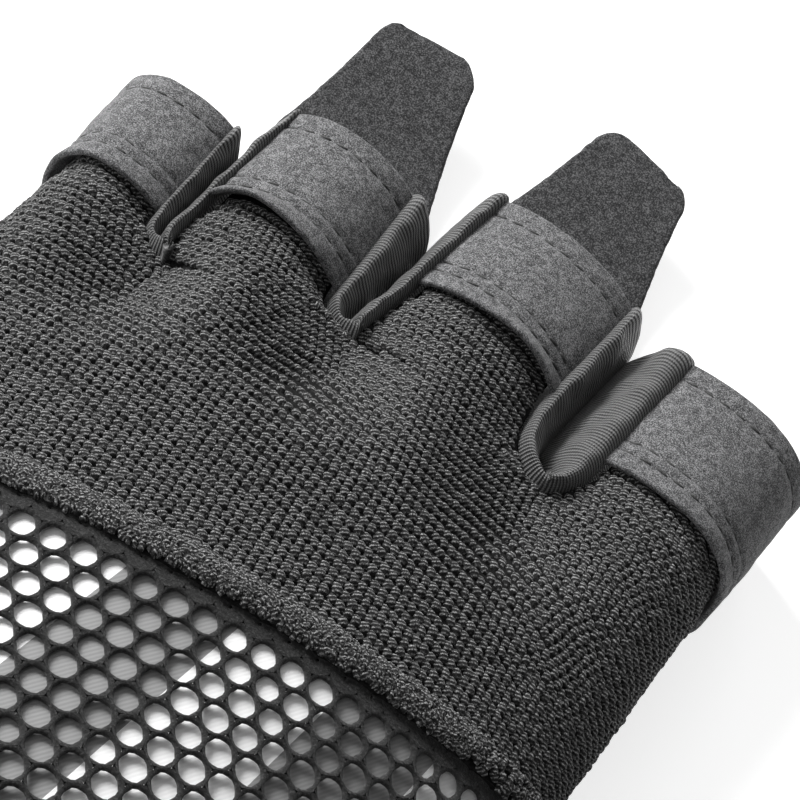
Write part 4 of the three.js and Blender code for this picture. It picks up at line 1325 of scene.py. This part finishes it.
net = mesh_piece("back_net_yarn", points, [(cell_faces[None] + first).reshape(-1, 4)])
join_doubles(net, 0.03)
net.data.materials.append(net_yarn)
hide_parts("back_net")

# %% Striped lining
LINING_LAP = 6.0
LINING_WALL = 0.8
angle = np.linspace(-0.97 * HAND_WRAP, 0.97 * HAND_WRAP, 121)[None, :]
v = np.linspace(0, 1, 70)[:, None]
y = mix(WRIST_LINE, seam_line(angle) + LINING_LAP, v)
points = arch(angle, y)
round_back = along_paths(points, axis=1)
round_back = round_back - round_back[:, [60]]
uv = np.stack([round_back, y + 0 * round_back], -1)
depth = NET_LEVEL + NET_THICK + 0.2 + 0.08 * ripples(points, 26, seed=41)
lining = thick_sheet("striped_lining", points, -depth, depth + LINING_WALL, uv)
lining.data.materials.append(striped)
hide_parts("back_lining")

# %% [markdown]
# The wrist ends in a plain ribbed elastic, and the thumb in a sleeve of palm suede with a grey
# band like the fingers'. Both are tubes: a wall profile carried right round the hand or thumb.

# %% Wrist cuff
CUFF_LENGTH = 26.0
CUFF_RIB = 1.6


def hand_rings(y, count):
    """Outlines of the hand at each y: three quarters of the points over the back by hand angle
    and the last quarter back across the palm, closer together at its edges."""
    y = np.asarray(y)[:, None]
    over = arch(np.linspace(-HAND_WRAP, HAND_WRAP, 3 * count // 4 + 1)[None, :], y)
    u = (1 + np.cos(np.linspace(0, np.pi, count // 4 + 1)[1:-1])) / 2
    rims = [palm_side(side, y)[0][..., 0] for side in (-1, 1)]
    under = palm_point(rims[0], rims[1], u[None, :], y, [-1, 1])
    return np.concatenate([over, under], axis=1)


def round_wall(low, high, length):
    """A wall's profile, going out along its outer face and back along the inner one, with half
    round ends: (distance along, height off the surface)."""
    middle, half = (low + high) / 2, (high - low) / 2
    n = int(length / 0.25)
    along_outer = np.linspace(half, length - half, n)
    end = np.radians(np.linspace(90, -90, 7)[1:-1])
    along_inner = along_outer[::-1][::6]
    profile = [np.stack([along_outer, np.full(n, high)], -1),
               np.stack([length - half + half * np.cos(end), middle + half * np.sin(end)], -1),
               np.stack([along_inner, np.full(len(along_inner), low)], -1),
               np.stack([half - half * np.cos(end[::-1]), middle + half * np.sin(end[::-1])], -1)]
    return np.concatenate(profile)


profile = round_wall(CUFF_EASE, CUFF_EASE + CUFF_WALL, CUFF_LENGTH)
# the front end folds in against the net
outer = CUFF_EASE + CUFF_WALL
fold = smooth((profile[:, 0] - CUFF_LENGTH + 3) / 2.5) * (CUFF_EASE + 0.5) / CUFF_WALL
profile[:, 1] = outer - (outer - profile[:, 1]) * (1 + fold)
rings = hand_rings(-BACK_LENGTH + profile[:, 0], 180)
beside = np.roll(rings, -1, axis=1) - np.roll(rings, 1, axis=1)
out = unit(np.stack([-beside[..., 2], 0 * beside[..., 0], beside[..., 0]], -1))
wave = 0.13 * np.cos(2 * np.pi * profile[:, 0] / CUFF_RIB) * (profile[:, 1] > CUFF_WALL)
rings = rings + out * (profile[:, 1] + wave)[:, None, None]
uv = np.stack([np.broadcast_to(profile[:, :1], rings.shape[:2]), along_paths(rings, axis=1)], -1)
cuff = ring_piece("elastic_cuff", rings, uv)
cuff.data.materials.append(cuff_elastic)
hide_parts("wrist_cuff")


# %% Thumb
def thumb_point(around, distance, grow):
    """The thumb's oval tube: an angle round it, a distance along it and a height off it."""
    taper = mix(1, THUMB_TAPER, clamp(distance / THUMB_LENGTH))
    across = (THUMB_WIDTH / 2 * taper + grow) * np.cos(around)
    high = (THUMB_HEIGHT / 2 * taper + grow) * np.sin(around)
    return (thumb_root + distance[..., None] * thumb_axis + across[..., None] * thumb_across
            + high[..., None] * np.array([0, 0, 1.0]))


def outside_hand(points):
    """True where points lie outside the hand's index side."""
    y, z = points[..., 1], points[..., 2]
    centre, half = hand_value("centre", y) * HAND_WIDTH, hand_value("half", y) * HAND_WIDTH
    side, crown = hand_value("side", y) * HAND_HEIGHT, hand_value("crown", y) * HAND_HEIGHT
    over = np.clip((z - side) / (crown - side), 0, 1)
    under = np.clip((side - z) / side, 0, 1) ** (1 / FLATNESS)
    reach = np.where(z > side, np.sqrt(1 - over ** 2), np.sqrt(1 - under ** 2) ** FLATNESS)
    return points[..., 0] > centre + half * reach


around = 2 * np.pi * np.arange(120) / 120
steps = np.linspace(-THUMB_INSET, 26, 321)
test = thumb_point(around[None, :], steps[:, None] + 0 * around, 0.0)
root_at = steps[np.argmax(outside_hand(test), axis=0)] + 0.2
profile = round_wall(-THUMB_WALL, 0.0, 30.0)
share = (profile[:, [0]] - profile[:, 0].min()) / np.ptp(profile[:, 0])
distance = mix(root_at[None, :], THUMB_LENGTH - THUMB_BAND + 4, share)
rings = thumb_point(around[None, :], distance, profile[:, [1]])
rings = rings + 0.15 * ripples(rings, 9, seed=51)[..., None] * unit(rings - thumb_root)
sleeve = ring_piece("thumb_sleeve_suede", rings)
sleeve.data.materials.append(palm_suede)
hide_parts("thumb_sleeve")

profile = round_wall(CLEARANCE, CLEARANCE + BAND_WALL, THUMB_BAND)
distance = THUMB_LENGTH - THUMB_BAND + profile[:, [0]] + 0 * around[None, :]
seams = [d % THUMB_BAND for d in SEAM_ROWS]
groove = sum(np.exp(-(((profile[:, [0]] - seam) / GROOVE_HALF) ** 2)) for seam in seams)
height = profile[:, [1]] - GROOVE_SINK * groove * (profile[:, [1]] > 1.0)
rings = thumb_point(around[None, :], distance, height)
thumb_suede = ring_piece("thumb_suede_band", rings)
thumb_suede.data.materials.append(band_suede)
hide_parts("thumb_band")


# %% [markdown]
# The glove lies on a table of opal glass that is lit from below, as for a catalogue picture, so
# its shadow stays faint.

# %% Floor and finish
floor_mesh = bpy.data.meshes.new("floor")
floor_mesh.from_pydata([(-3, -3, 0), (3, -3, 0), (3, 3, 0), (-3, 3, 0)], [], [(0, 1, 2, 3)])
floor = bpy.data.objects.new("floor", floor_mesh)
bpy.context.collection.objects.link(floor)
opal, tree, shader = finish_of("opal light table", 0.9, specular=0.1)
shader.inputs["Base Color"].default_value = linear("#c8c8c8")
shader.inputs["Emission Color"].default_value = linear("#ffffff")
shader.inputs["Emission Strength"].default_value = 0.74
floor.data.materials.append(opal)
